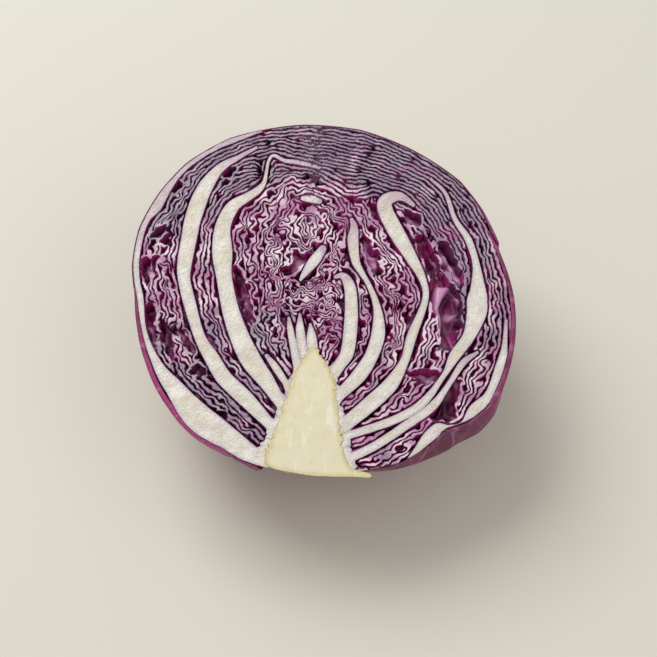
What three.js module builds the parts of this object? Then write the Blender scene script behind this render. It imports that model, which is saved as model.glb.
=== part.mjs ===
// Half of a red cabbage, cut from top to stem and lying on its round back.
// Millimetres, +Z up, +X to the right along the cut face, +Y from the stem to the head's top.
//
// The head is first laid out with its cut face level, in the plane z = 0. Every large leaf is a
// shell about one growing point inside the core. A direction from that point is given by theta,
// the angle from the head's top, and phi, the turn about the head's axis: 0 is the cut face's
// right side, 90 the middle of the back and 180 the cut face's left side.

import * as THREE from "three";

const headWidth = 165; // widest part of the cut face
const faceTilt = 12; // degrees that the cut face leans, stem end low
const edgeClearance = 1.2; // that the overlapping leaf's edge keeps above the resting level
const flatDepth = 3.5; // how deep the resting flat cuts into the round back
const backRadius = 82.5; // of the ball that the round back follows, over its outermost leaf
const backMiddle = new THREE.Vector2(-1, 9); // of that ball, in the cut face
const growingPoint = new THREE.Vector2(-4.5, -45); // in the cut face, inside the core
const nominalWidth = 165; // the width at which the outlines below are given
const stemUndercut = 18; // degrees that the trimmed stem base slants under the head
const stemBaseDistance = 31; // from the growing point down to the trimmed base
const leastGap = 0.45; // between one leaf and the next
const wrapperGap = 1.6; // between the outer leaves, which end inside the view of each other
const filling = 0.6; // share of the spare room between leaves that they fill away from the cut
const coreGap = 0.6; // between the core and the leaves round it
const thinBlade = 1.2; // thickness of an inner leaf away from its rib
const leastBlade = 0.7; // thickness that no leaf goes below
const wrapperBlade = 2.2; // thickness of an outer leaf away from its rib
const layerPitch = 2.0; // from layer to layer where leaves lie packed
const packedShare = 0.06; // of the distance from the growing point that a packed layer takes at most
const wavePitch = 2.9; // degrees of theta to a radian of a leaf's wave along the cut
const fineStep = 3; // degrees of theta along the cut edges
const coarseStep = 9; // degrees of theta everywhere else
const gridEnd = 153; // theta of the grid's last row
const innerColumns = [0, 18, 45, 72, 108, 135, 162, 180]; // phi of an inner leaf's grid
const wrapperColumns = Array.from({ length: 21 }, (_, i) => 9 * i); // phi of an outer leaf's grid

const skinColour = 0x8a3a63;
const bladeColour = 0x9a6c86;
const ribColour = 0xdcd3c4;
const coreColour = 0xe3dcb6;
const heartColour = 0xa9819a;

const radians = THREE.MathUtils.degToRad;
const degrees = THREE.MathUtils.radToDeg;

// ---- outlines in the cut face ------------------------------------------------------------

// The head's outer rim: [theta, distance from the growing point], left side negative.
const rim = [
  [-155, 32], [-141, 36], [-131, 39], [-118, 43], [-104, 53], [-90, 62], [-76, 73], [-66, 82],
  [-58, 90], [-52, 99], [-44, 109], [-35, 117], [-27, 123], [-17, 127], [-3, 128], [9, 127],
  [20, 123.5], [32, 119], [40, 113], [50, 104], [61, 97], [72, 89], [84, 80], [92, 74],
  [98, 66.5], [103, 57], [113, 51], [126, 44.8], [139, 38.5], [155, 33],
];

// The core's outline, in the same terms.
const coreOutline = [
  [-170, 32], [-145, 33], [-137, 26], [-123, 19.8], [-104, 14.1], [-90, 12], [-63, 11.7],
  [-28, 16], [0, 24], [7, 21], [32, 14], [72, 9.6], [127, 13], [144, 19.8], [153, 27], [160, 36],
];

// Sliced midribs: [x, y, width] along the middle of each, from the core outwards.
const midribs = {
  wrapper_left: [
    [-31, -66, 8], [-41, -60, 9], [-56, -49, 9], [-68, -36, 9], [-76, -20, 7], [-79, 2, 4.5],
    [-81, 20, 3], [-78, 37, 4], [-70, 50, 6], [-60, 62, 6], [-46, 72, 5], [-30, 79, 3.5],
  ],
  leaf_left_1: [
    [-23, -55, 5], [-32, -44, 7], [-42, -34, 7], [-50, -20, 5.5], [-57, 0, 5.5], [-60, 16, 6.5],
    [-57, 40, 7.4], [-52, 51, 7], [-44, 65, 3.4], [-29, 72, 1.8],
  ],
  leaf_left_2: [
    [-19, -44, 4], [-24, -37, 7], [-31, -27, 8.8], [-38, -9, 7.8], [-43, 10, 7.4], [-44, 25, 8.2],
    [-40, 43, 6], [-29, 52, 3.2], [-17, 60, 2.2], [-2, 62, 2.1],
  ],
  leaf_right_1: [
    [12, -69, 4], [21, -64, 4], [33, -55, 4], [44, -47, 4.2], [51, -37, 2.8], [58, -27, 3],
    [64, -22, 1.7],
  ],
  leaf_right_2: [
    [10, -60, 3.4], [28, -53, 3.8], [44, -41, 3.8], [52, -28, 4.4], [61, -14, 5.8], [64, 0, 8.8],
    [64, 16, 3.6], [58, 33, 3], [52, 47, 2.1], [46, 57, 1.7],
  ],
  leaf_right_3: [
    [8, -55, 5.6], [19, -46, 6.8], [31, -31, 5.2], [37, -16, 4.2], [42, 2, 3], [40, 15, 3.8],
    [31, 30, 6.8], [26, 41, 6.8], [26, 47, 5.6],
  ],
  leaf_right_4: [
    [6, -41, 4.6], [14, -34, 6.2], [21, -20, 6.2], [22, -6, 4.6], [18, 8, 2.6], [13, 20, 4],
    [12, 28, 4.8], [12, 37, 2.1],
  ],
};

// Short young leaves beside the core's tip: [x, y, width] in the cut face.
const youngLeaves = {
  young_leaf_1: [[-16.7, -38.4, 2.2], [-19, -33.4, 2.8], [-21.6, -28.6, 2.2]],
  young_leaf_2: [[-15.4, -32, 3.4], [-14.9, -24.7, 3.2], [-15, -17.6, 2]],
  young_leaf_3: [[-10.9, -20.3, 2.4], [-10.2, -16, 3.2], [-9.6, -12.6, 2]],
  young_leaf_4: [[6.6, -28, 4.6], [9.7, -21.5, 5.4], [11, -10, 5.6], [10.8, 2, 5.2], [9.4, 9, 3]],
};

// The large leaves from the outside in. mid is the phi of the midrib, base and far the theta at
// which the leaf ends on its own side and on the far side, and seed shapes its waves.
const leaves = [
  { name: "wrapper_left", mid: 180, wrapper: true, seed: 1 },
  { name: "wrapper_under", mid: 90, wrapper: true, ridge: 90, seed: 2 },
  { name: "wrapper_right", mid: 20, wrapper: true, ridge: 27, seed: 3 },
  { name: "leaf_right_1", mid: 0, base: 147, far: 72, seed: 4 },
  { name: "leaf_left_1", mid: 180, base: 117, far: 72, seed: 5 },
  { name: "leaf_back_1", mid: 90, base: 108, far: 78, seed: 6 },
  { name: "leaf_right_2", mid: 0, base: 135, far: 63, seed: 7 },
  { name: "leaf_left_2", mid: 180, base: 90, far: 63, seed: 8 },
  { name: "leaf_back_2", mid: 90, base: 90, far: 60, seed: 9 },
  { name: "leaf_right_3", mid: 0, base: 126, far: 54, seed: 10 },
  { name: "leaf_back_3", mid: 90, base: 81, far: 45, seed: 11 },
  { name: "leaf_back_4", mid: 90, base: 72, far: 36, seed: 12 },
  { name: "leaf_right_4", mid: 0, base: 72, far: 36, seed: 13 },
];

// How far the right outer leaf swells out just under the cut: [theta, mm].
const swelling = [
  [80, 0], [92, 3.5], [98, 5.5], [103, 7], [108, 6], [113, 4.3], [120, 2.4], [128, 1.2], [136, 0],
];

// Where the outer leaves end: [phi, theta].
const wrapperEnds = {
  wrapper_left: [
    [0, 47], [36, 51], [54, 45], [90, 44], [99, 48], [108, 57], [117, 76], [126, 98], [135, 115],
    [144, 129], [153, 137], [180, 141],
  ],
  wrapper_under: [
    [0, 44], [9, 54], [18, 66], [27, 80], [36, 97], [45, 114], [54, 129], [63, 140], [72, 146],
    [117, 146], [126, 137], [135, 124], [144, 108], [153, 92], [162, 76], [180, 50],
  ],
  wrapper_right: [
    [0, 151], [36, 148], [54, 139], [72, 118], [90, 96], [117, 76], [153, 62], [180, 55],
  ],
};

// The heart: its middle, its half sizes, and the share of them that each leaf of it takes.
const heartMiddle = new THREE.Vector2(-12, 17.5);
const heartHalf = new THREE.Vector3(19.6, 27.8, 20);
const heartShares = [1, 0.82, 0.65, 0.49, 0.34];
const heartBlade = 1.3;
const heartWave = 1.35;

// ---- small helpers -----------------------------------------------------------------------

function interpolate(table, x) {
  if (x <= table[0][0]) return table[0][1];
  for (let i = 1; i < table.length; i += 1) {
    const [x0, y0] = table[i - 1];
    const [x1, y1] = table[i];
    if (x <= x1) return y0 + ((y1 - y0) * (x - x0)) / (x1 - x0);
  }
  return table[table.length - 1][1];
}

function smoothstep(t) {
  const s = Math.min(1, Math.max(0, t));
  return s * s * (3 - 2 * s);
}

// A smooth wave of about unit height along x, different for each seed.
function ripple(x, seed) {
  const first = Math.sin(x + 1.7 * seed);
  const second = Math.sin(1.63 * x + 2.9 * seed + 0.8);
  const third = Math.sin(2.41 * x + 0.6 * seed * seed);
  return 0.44 * first + 0.32 * second + 0.24 * third;
}

function direction(theta, phi) {
  const across = Math.sin(radians(theta));
  return new THREE.Vector3(
    across * Math.cos(radians(phi)),
    Math.cos(radians(theta)),
    -across * Math.sin(radians(phi)),
  );
}

function place(distance, theta, phi) {
  const point = direction(theta, phi).multiplyScalar(distance);
  point.x += growingPoint.x;
  point.y += growingPoint.y;
  return point;
}

// The two edges of a sliced rib as tables of [theta, distance], theta rising.
function ribEdges(points) {
  const line = new THREE.CatmullRomCurve3(points.map(([x, y, width]) => new THREE.Vector3(x, y, width)));
  const samples = line.getPoints(8 * points.length);
  const outer = [];
  const inner = [];
  samples.forEach((sample, i) => {
    const before = samples[Math.max(0, i - 1)];
    const after = samples[Math.min(samples.length - 1, i + 1)];
    const along = new THREE.Vector2(after.x - before.x, after.y - before.y).normalize();
    const edges = [1, -1].map((side) => {
      const x = sample.x + (side * along.y * sample.z) / 2 - growingPoint.x;
      const y = sample.y - (side * along.x * sample.z) / 2 - growingPoint.y;
      return [degrees(Math.atan2(x, y)), Math.hypot(x, y)];
    });
    edges.sort((a, b) => b[1] - a[1]);
    outer.push(edges[0]);
    inner.push(edges[1]);
  });
  const byTheta = (a, b) => a[0] - b[0];
  return { outer: outer.sort(byTheta), inner: inner.sort(byTheta) };
}

// ---- the stack of leaves in the two halves of the cut face --------------------------------

function leafEnd(leaf, phi) {
  if (leaf.wrapper) return interpolate(wrapperEnds[leaf.name], phi) + 1.6 * ripple(phi / 9, leaf.seed);
  const span = leaf.mid === 90 ? 90 : 180;
  const share = smoothstep(Math.abs(THREE.MathUtils.clamp(phi, 0, 180) - leaf.mid) / span);
  return coarseStep * Math.round((leaf.base - (leaf.base - leaf.far) * share) / coarseStep);
}

// Gap and thickness of each leaf along one side of the cut face, a degree of theta apart.
function sideStack(side) {
  const phi = side < 0 ? 180 : 0;
  const edges = {};
  Object.entries(midribs).forEach(([name, points]) => {
    edges[name] = ribEdges(points);
  });
  const rows = [];
  for (let theta = 0; theta <= 150; theta += 1) {
    const signed = side * theta;
    const rimRadius = interpolate(rim, signed);
    const known = leaves.map((leaf) => {
      if (leaf.name === "wrapper_left") {
        const beyond = side < 0 ? 0 : 5 * smoothstep((theta - 42) / 12);
        const thickness = side < 0 ? rimRadius - interpolate(edges.wrapper_left.inner, signed) : 0;
        const blade = Math.max(thickness, wrapperBlade - 0.6);
        return [rimRadius + beyond, rimRadius + beyond - blade];
      }
      if (leaf.name === "wrapper_right" && side > 0 && theta > 54) {
        return [rimRadius, rimRadius - wrapperBlade];
      }
      const band = edges[leaf.name];
      if (!band || leaf.wrapper) return null;
      const first = Math.max(band.outer[0][0], band.inner[0][0]);
      const last = Math.min(band.outer.at(-1)[0], band.inner.at(-1)[0]);
      if (signed < first || signed > last) return null;
      return [interpolate(band.outer, signed), interpolate(band.inner, signed)];
    });
    rows.push({ known, present: leaves.map((leaf) => leaf.wrapper || theta <= leafEnd(leaf, phi)) });
  }
  return rows.map(fillRow);
}

// Leaves between two known ones share the room evenly, and those inside the last known one
// follow it a pitch apart. Each leaf gets its gap, thickness and wave.
function fillRow({ known, present }) {
  const gaps = leaves.map(() => leastGap);
  const blades = leaves.map(() => thinBlade);
  const waves = leaves.map(() => 0);
  let wall = known[0][1];
  blades[0] = known[0][0] - known[0][1];
  gaps[0] = 0;
  let waiting = [];
  for (let i = 1; i < leaves.length; i += 1) {
    if (!present[i]) continue;
    if (!known[i]) {
      waiting.push(i);
      continue;
    }
    const [outer, inner] = known[i];
    const room = wall - outer;
    const share = room / (waiting.length + 1);
    const blade = Math.min(thinBlade, 0.5 * share);
    const gap = (room - waiting.length * blade) / (waiting.length + 1);
    const steps = waiting.map((_, k) => Math.sin((Math.PI * (k + 1)) / (waiting.length + 1)));
    const steepest = steps.length ? Math.max(steps[0], 0.01) : 1;
    waiting.forEach((leaf, k) => {
      gaps[leaf] = Math.max(gap, leastGap);
      blades[leaf] = Math.max(blade, leastBlade);
      waves[leaf] = leaves[leaf].wrapper ? 0 : (Math.max(0, gap - leastGap) * steps[k]) / steepest;
    });
    gaps[i] = Math.max(gap, leastGap);
    blades[i] = Math.max(outer - inner, 0.8);
    wall = inner;
    waiting = [];
  }
  const pitch = Math.min(layerPitch, packedShare * wall);
  waiting.forEach((leaf) => {
    blades[leaf] = Math.max(leastBlade, Math.min(thinBlade, 0.55 * pitch));
    gaps[leaf] = Math.max(leastGap, pitch - blades[leaf]);
  });
  return { gaps, blades, waves };
}

function smoothed(rows, field, leaf, theta) {
  const reach = 3;
  let sum = 0;
  for (let k = -reach; k <= reach; k += 1) {
    const row = rows[Math.min(rows.length - 1, Math.abs(theta + k))];
    sum += row[field][leaf];
  }
  return sum / (2 * reach + 1);
}

const stacks = { left: sideStack(-1), right: sideStack(1) };

// ---- the leaves round the whole half ------------------------------------------------------

function sideShare(phi) {
  return (1 - Math.cos(radians(phi))) / 2;
}

function blend(phi, right, left) {
  const share = sideShare(phi);
  return right * (1 - share) + left * share;
}

function coreRadius(theta, phi) {
  const round = blend(phi, interpolate(coreOutline, theta), interpolate(coreOutline, -theta));
  const toBase = direction(theta, phi);
  const closing = -toBase.y - toBase.z * Math.tan(radians(stemUndercut));
  return closing > 0 ? Math.min(round, stemBaseDistance / closing) : round;
}

// The distance of the round back, a ball about the middle of the cut face.
function backDistance(theta, phi) {
  const towards = direction(theta, phi);
  const along = (backMiddle.x - growingPoint.x) * towards.x + (backMiddle.y - growingPoint.y) * towards.y;
  const offset = backMiddle.distanceTo(growingPoint);
  return along + Math.sqrt(backRadius ** 2 - offset ** 2 + along ** 2);
}

// The level on which the back rests, seen from the growing point with the cut face level.
const down = new THREE.Vector3(0, -Math.sin(radians(faceTilt)), -Math.cos(radians(faceTilt)));

// The outer and inner distance of each leaf along one direction.
function leafRadii(theta, phi, restLevel = Infinity) {
  const row = Math.min(150, Math.round(theta));
  const sheets = leaves.map((leaf, i) => {
    const pick = (field) => blend(
      phi,
      smoothed(stacks.right, field, i, row),
      smoothed(stacks.left, field, i, row),
    );
    const thin = leaf.wrapper ? wrapperBlade : thinBlade;
    const ribShare = Math.max(0, Math.cos(radians(Math.min(90, 2.2 * Math.abs(phi - leaf.mid)))));
    const cut = phi === 0 || phi === 180 || theta === 0;
    const depth = Math.min(1, Math.min(phi, 180 - phi) / 18);
    const blade = Math.max(pick("blades"), leaf.wrapper && !cut ? depth * wrapperBlade : 0);
    const thickness = cut ? blade : Math.min(blade, thin + Math.max(0, blade - thin) * ribShare);
    const onCut = phi === 0 || phi === 180;
    const wave = onCut ? pick("waves") * ripple(theta / wavePitch, 3 + Math.cos(radians(phi))) : 0;
    const sideGap = Math.max(pick("gaps"), leaf.wrapper ? wrapperGap : leastGap);
    const spare = cut || leaf.wrapper ? 0 : filling * Math.max(0, sideGap - 2 * leastGap);
    return { gap: i === 0 ? 0 : sideGap - spare, thickness: thickness + spare, wave };
  });
  const leftRim = interpolate(rim, -theta);
  const rightRim = interpolate(rim, theta) + 5 * smoothstep((theta - 42) / 12);
  const roundness = smoothstep(Math.min(phi, 180 - phi) / 54) * smoothstep(theta / 40);
  const envelope = THREE.MathUtils.lerp(blend(phi, rightRim, leftRim), backDistance(theta, phi), roundness);
  const closing = direction(theta, phi).dot(down);
  const level = closing > 0 ? restLevel / closing : Infinity;
  let wall = envelope;
  const present = leaves.map((leaf) => presence(leaf, theta, phi));
  const needed = sheets.reduce((sum, sheet, i) => sum + present[i] * (sheet.gap + sheet.thickness), 0);
  const room = envelope - coreRadius(theta, phi) - coreGap;
  const squeeze = Math.min(1, room / needed);
  return leaves.map((leaf, i) => {
    const { gap, thickness, wave } = sheets[i];
    const flare = edgeFlare(leaf, theta, phi);
    let outer = wall - gap * squeeze * present[i];
    if (leaf.name === "wrapper_under") outer = Math.min(outer, level - relief(theta, phi));
    const thin = outer - thickness * squeeze * present[i];
    const inner = thin + (coreRadius(theta, phi) + coreGap - thin) * baseShare(leaf, theta, phi);
    wall = inner;
    const shift = flare - wave + (leaf.wrapper ? relief(theta, phi) : 0);
    const ridge = midribRidge(leaf, theta, phi);
    const raised = leaf.name === "wrapper_left" ? level - edgeClearance : Infinity;
    const top = Math.min(outer + shift + ridge, raised);
    return { outer: top, inner: Math.min(inner + shift, raised - thickness) };
  });
}

// The room that a leaf takes: all of it up to its end, and less and less past it.
function presence(leaf, theta, phi) {
  if (leaf.wrapper) return 1;
  const reach = phi === 0 || phi === 180 ? 18 : 27;
  const end = Math.max(leafEnd(leaf, phi - reach), leafEnd(leaf, phi), leafEnd(leaf, phi + reach));
  return 1 - smoothstep((theta - end) / 18);
}

// How far the fleshy base of the leaf under the head fills the room down to the core.
function baseShare(leaf, theta, phi) {
  if (leaf.name !== "wrapper_under" || phi <= 63 || phi >= 135) return 0;
  const next = leaves.find(({ name }) => name === "wrapper_right");
  const clear = Math.max(112, leafEnd(next, phi - 9) + 4, leafEnd(next, phi) + 4);
  return smoothstep((theta - clear) / 22);
}

// Gentle unevenness of the outer leaves, the same for all of them.
function relief(theta, phi) {
  const fade = Math.sin(radians(theta)) * Math.sin(radians(phi));
  return 0.55 * fade * Math.sin(radians(5.2 * theta + 20)) * Math.cos(radians(4.1 * phi - 35));
}

// The midrib of an outer leaf stands out on its back, most near the stem.
function midribRidge(leaf, theta, phi) {
  if (leaf.name === "wrapper_left" || !leaf.wrapper) return 0;
  const across = smoothstep(1 - Math.abs(phi - leaf.ridge) / 15);
  return 1.8 * across * smoothstep((theta - 84) / 36);
}

// The outermost leaf at any place lifts a little towards its free edge.
function edgeFlare(leaf, theta, phi) {
  const lift = smoothstep(1 - (leafEnd(leaf, phi) - theta) / 16);
  if (leaf.name === "wrapper_left" && phi < 150) return (phi < 9 ? 0.5 : 1.6) * lift;
  if (leaf.name === "wrapper_under" && phi <= 63) return 3.4 * lift * smoothstep((theta - 52) / 14);
  if (leaf.name === "wrapper_right") return bulgeUnderRim(theta, phi);
  return 0;
}

// The swelling is fullest a little way down from the cut, and gone before the leaf turns under.
function bulgeUnderRim(theta, phi) {
  return interpolate(swelling, theta) * smoothstep(phi / 9) * (1 - smoothstep((phi - 22) / 14));
}

// Lowest point of the back, which sets the level of the resting flat.
function findRestLevel() {
  const under = leaves.findIndex((leaf) => leaf.name === "wrapper_under");
  let lowest = 0;
  for (let theta = 40; theta <= 90; theta += coarseStep / 3) {
    for (let phi = 72; phi <= 108; phi += coarseStep / 3) {
      const { outer } = leafRadii(theta, phi)[under];
      lowest = Math.max(lowest, outer * direction(theta, phi).dot(down));
    }
  }
  return lowest - flatDepth;
}

const restLevel = findRestLevel();

// ---- meshes ------------------------------------------------------------------------------

// Triangles between two neighbouring lines of points, each a list of [theta, index].
function zip(first, second, triangles) {
  let i = 0;
  let j = 0;
  while (i < first.length - 1 || j < second.length - 1) {
    const nextFirst = i < first.length - 1 ? first[i + 1][0] : Infinity;
    const nextSecond = j < second.length - 1 ? second[j + 1][0] : Infinity;
    if (nextFirst <= nextSecond) {
      triangles.push([first[i][1], first[i + 1][1], second[j][1]]);
      i += 1;
    } else {
      triangles.push([first[i][1], second[j + 1][1], second[j][1]]);
      j += 1;
    }
  }
}

// Triangles of the grid that runs from the shared pole down all columns, as pairs of
// [column, row] corners. lines holds, for each column, the theta of each of its rows.
function gridTriangles(lines) {
  const triangles = [];
  for (let c = 0; c < lines.length - 1; c += 1) {
    const corner = (column) =>
      lines[column].map((theta, row) => [theta, row ? `${column} ${row}` : "pole"]);
    zip(corner(c), corner(c + 1), triangles);
  }
  return triangles.filter(([a, b, d]) => a !== b && b !== d && a !== d);
}

// A closed sheet from triangles over named corners: an outer skin, the same skin turned
// round inside it, and a wall along every edge that only one triangle has.
function sheetGeometry(triangles, corners) {
  const positions = [];
  const ids = new Map();
  const idOf = (corner, side) => {
    const key = `${corner} ${side}`;
    if (!ids.has(key)) {
      ids.set(key, positions.length / 3);
      positions.push(...corners.get(corner)[side].toArray());
    }
    return ids.get(key);
  };
  const edges = new Set(triangles.flatMap(([a, b, d]) => [`${a}>${b}`, `${b}>${d}`, `${d}>${a}`]));
  const index = [];
  triangles.forEach(([a, b, d]) => {
    index.push(idOf(a, "outer"), idOf(b, "outer"), idOf(d, "outer"));
    index.push(idOf(a, "inner"), idOf(d, "inner"), idOf(b, "inner"));
    [[a, b], [b, d], [d, a]].forEach(([from, to]) => {
      if (edges.has(`${to}>${from}`)) return;
      const [outerFrom, outerTo] = [idOf(from, "outer"), idOf(to, "outer")];
      const [innerFrom, innerTo] = [idOf(from, "inner"), idOf(to, "inner")];
      index.push(outerFrom, innerFrom, outerTo, outerTo, innerFrom, innerTo);
    });
  });
  const geometry = new THREE.BufferGeometry();
  geometry.setAttribute("position", new THREE.Float32BufferAttribute(positions, 3));
  geometry.setIndex(index);
  return geometry;
}

// The rows of one column: an outer leaf's last row slides to its true end, and an inner leaf
// keeps whole rows, so that neighbouring leaves share one grid.
function columnRows(leaf, phi) {
  const step = phi === 0 || phi === 180 ? fineStep : coarseStep;
  const end = leaf.wrapper ? leafEnd(leaf, phi) : gridEnd;
  const rows = step === fineStep ? [0] : [0, fineStep];
  for (let theta = step; theta < end - 0.35 * step; theta += step) rows.push(theta);
  rows.push(end);
  return rows;
}

function leafGeometry(index) {
  const leaf = leaves[index];
  const phis = leaf.wrapper ? wrapperColumns : innerColumns;
  const lines = phis.map((phi) => columnRows(leaf, phi));
  const inside = new Set(["pole"]);
  const corners = new Map();
  const addCorner = (key, theta, phi, radii) => {
    corners.set(key, { outer: place(radii.outer, theta, phi), inner: place(radii.inner, theta, phi) });
  };
  addCorner("pole", 0, 0, leafRadii(0, 90, restLevel)[index]);
  phis.forEach((phi, column) => {
    lines[column].forEach((theta, row) => {
      if (row === 0 || theta > leafEnd(leaf, phi) + 0.01) return;
      inside.add(`${column} ${row}`);
      addCorner(`${column} ${row}`, theta, phi, leafRadii(theta, phi, restLevel)[index]);
    });
  });
  const triangles = gridTriangles(lines).filter((corner) => corner.every((key) => inside.has(key)));
  return sheetGeometry(triangles, corners);
}

// The core is solid: one skin, closed by a flat face in the cut plane.
function coreGeometry() {
  const phis = [0, 30, 60, 90, 120, 150, 180];
  const positions = [];
  const add = (point) => positions.push(point.x, point.y, point.z) / 3 - 1;
  const tip = add(place(coreRadius(0, 90), 0, 0));
  const foot = add(place(coreRadius(180, 90), 180, 0));
  const middle = add(new THREE.Vector3(growingPoint.x, growingPoint.y, 0));
  const lines = phis.map((phi) => {
    const line = [[0, tip]];
    for (let theta = coarseStep; theta < 180; theta += coarseStep) {
      line.push([theta, add(place(coreRadius(theta, phi), theta, phi))]);
    }
    line.push([180, foot]);
    return line;
  });
  const triangles = [];
  for (let c = 0; c < lines.length - 1; c += 1) {
    const skin = [];
    zip(lines[c], lines[c + 1], skin);
    const whole = skin.filter(([a, b, d]) => a !== b && b !== d && a !== d);
    whole.forEach(([a, b, d]) => triangles.push(a, b, d));
  }
  for (let i = 0; i < lines[0].length - 1; i += 1) {
    triangles.push(lines[0][i + 1][1], lines[0][i][1], middle);
    triangles.push(lines.at(-1)[i][1], lines.at(-1)[i + 1][1], middle);
  }
  const geometry = new THREE.BufferGeometry();
  geometry.setAttribute("position", new THREE.Float32BufferAttribute(positions, 3));
  geometry.setIndex(triangles);
  return geometry;
}

// A young leaf: half a rounded rod lying in the cut face along its line of points.
function youngLeafGeometry(points) {
  const curve = new THREE.CatmullRomCurve3(points.map(([x, y, width]) => new THREE.Vector3(x, y, width)));
  const samples = curve.getPoints(2 * points.length);
  const section = [[1, 0], [0.92, -0.7], [0.5, -1.25], [-0.5, -1.25], [-0.92, -0.7], [-1, 0]];
  const positions = [];
  samples.forEach((sample, i) => {
    const before = samples[Math.max(0, i - 1)];
    const after = samples[Math.min(samples.length - 1, i + 1)];
    const along = new THREE.Vector2(after.x - before.x, after.y - before.y).normalize();
    section.forEach(([across, depth]) => {
      const shift = (across * sample.z) / 2;
      positions.push(sample.x + along.y * shift, sample.y - along.x * shift, (depth * sample.z) / 2);
    });
  });
  const triangles = [];
  const sides = section.length;
  for (let i = 0; i < samples.length - 1; i += 1) {
    for (let k = 0; k < sides; k += 1) {
      const a = i * sides + k;
      const b = i * sides + ((k + 1) % sides);
      triangles.push(a, b, a + sides, b, b + sides, a + sides);
    }
  }
  const last = (samples.length - 1) * sides;
  for (let k = 1; k < sides - 1; k += 1) {
    triangles.push(0, k + 1, k);
    triangles.push(last, last + k, last + k + 1);
  }
  const geometry = new THREE.BufferGeometry();
  geometry.setAttribute("position", new THREE.Float32BufferAttribute(positions, 3));
  geometry.setIndex(triangles);
  return geometry;
}

// A leaf of the heart: a crumpled cup about the heart's middle, open in the cut face.
// turn runs round in the cut face and dip from the cut face to the cup's bottom.
function heartPoint(share, inward, turn, dip, wave) {
  const round = Math.sin(radians(dip));
  const flat = Math.cos(radians(dip));
  const lobes = ripple((7 * radians(turn)), 2) + 0.5 * Math.sin(5 * radians(turn) + 4 * share);
  const shift = wave * lobes * flat - inward;
  return new THREE.Vector3(
    heartMiddle.x + (heartHalf.x * share + shift) * flat * Math.sin(radians(turn)),
    heartMiddle.y + (heartHalf.y * share + shift) * flat * Math.cos(radians(turn)),
    -(heartHalf.z * share - inward) * round,
  );
}

function heartGeometry(share, solid) {
  const levels = [[0, 72], [26, 18], [58, 9]];
  const positions = [];
  const add = (point) => positions.push(point.x, point.y, point.z) / 3 - 1;
  const wave = heartWave * Math.sqrt(share);
  const ring = (dip, count, inward) => Array.from({ length: count + 1 }, (_, i) => [
    (360 * i) / count,
    i < count ? add(heartPoint(share, inward, (360 * i) / count, dip, dip === 0 ? wave : 0)) : null,
  ]).map((entry, i, all) => [entry[0], i < count ? entry[1] : all[0][1]]);
  const skins = (solid ? [0] : [0, heartBlade]).map((inward) => ({
    rings: levels.map(([dip, count]) => ring(dip, count, inward)),
    bottom: add(heartPoint(share, inward, 0, 90, 0)),
  }));
  const triangles = [];
  skins.forEach(({ rings, bottom }, inner) => {
    const skin = [];
    zip(rings[0], rings[1], skin);
    zip(rings[1], rings[2], skin);
    zip(rings[2], [[0, bottom]], skin);
    skin.filter(([a, b, d]) => a !== b && b !== d && a !== d)
      .forEach(([a, b, d]) => (inner ? triangles.push(a, d, b) : triangles.push(a, b, d)));
  });
  const rimRing = skins[0].rings[0];
  const middle = solid ? add(new THREE.Vector3(heartMiddle.x, heartMiddle.y, 0)) : null;
  for (let i = 0; i < rimRing.length - 1; i += 1) {
    const [a, b] = [rimRing[i][1], rimRing[i + 1][1]];
    if (solid) {
      triangles.push(a, middle, b);
    } else {
      const [c, d] = [skins[1].rings[0][i][1], skins[1].rings[0][i + 1][1]];
      triangles.push(a, c, b, b, c, d);
    }
  }
  const geometry = new THREE.BufferGeometry();
  geometry.setAttribute("position", new THREE.Float32BufferAttribute(positions, 3));
  geometry.setIndex(triangles);
  return geometry;
}

// ---- the head ----------------------------------------------------------------------------

function leafMaterial(color, roughness) {
  return new THREE.MeshStandardMaterial({ color, roughness, metalness: 0 });
}

const head = new THREE.Group();
head.name = "red_cabbage_half";
const laid = new THREE.Group();
laid.rotation.x = radians(faceTilt);
laid.scale.setScalar(headWidth / nominalWidth);
head.add(laid);

function addPiece(name, geometry, material) {
  const mesh = new THREE.Mesh(geometry, material);
  mesh.name = name;
  laid.add(mesh);
}

addPiece("core", coreGeometry(), leafMaterial(coreColour, 0.5));
leaves.forEach((leaf, index) => {
  const colour = leaf.wrapper ? skinColour : bladeColour;
  addPiece(leaf.name, leafGeometry(index), leafMaterial(colour, 0.45));
});
Object.entries(youngLeaves).forEach(([name, points]) => {
  addPiece(name, youngLeafGeometry(points), leafMaterial(ribColour, 0.5));
});
heartShares.forEach((share, i) => {
  addPiece(`heart_leaf_${i + 1}`, heartGeometry(share, false), leafMaterial(heartColour, 0.5));
});
addPiece("heart_bud", heartGeometry(0.19, true), leafMaterial(heartColour, 0.5));

// Stand the rest flat on z = 0 and bring the middle of the box over the origin.
laid.updateMatrixWorld(true);
const box = new THREE.Box3().setFromObject(laid, true);
laid.position.set(-(box.min.x + box.max.x) / 2, -(box.min.y + box.max.y) / 2, -box.min.z);
laid.updateMatrixWorld(true);

export default head;
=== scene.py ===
import math

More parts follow.
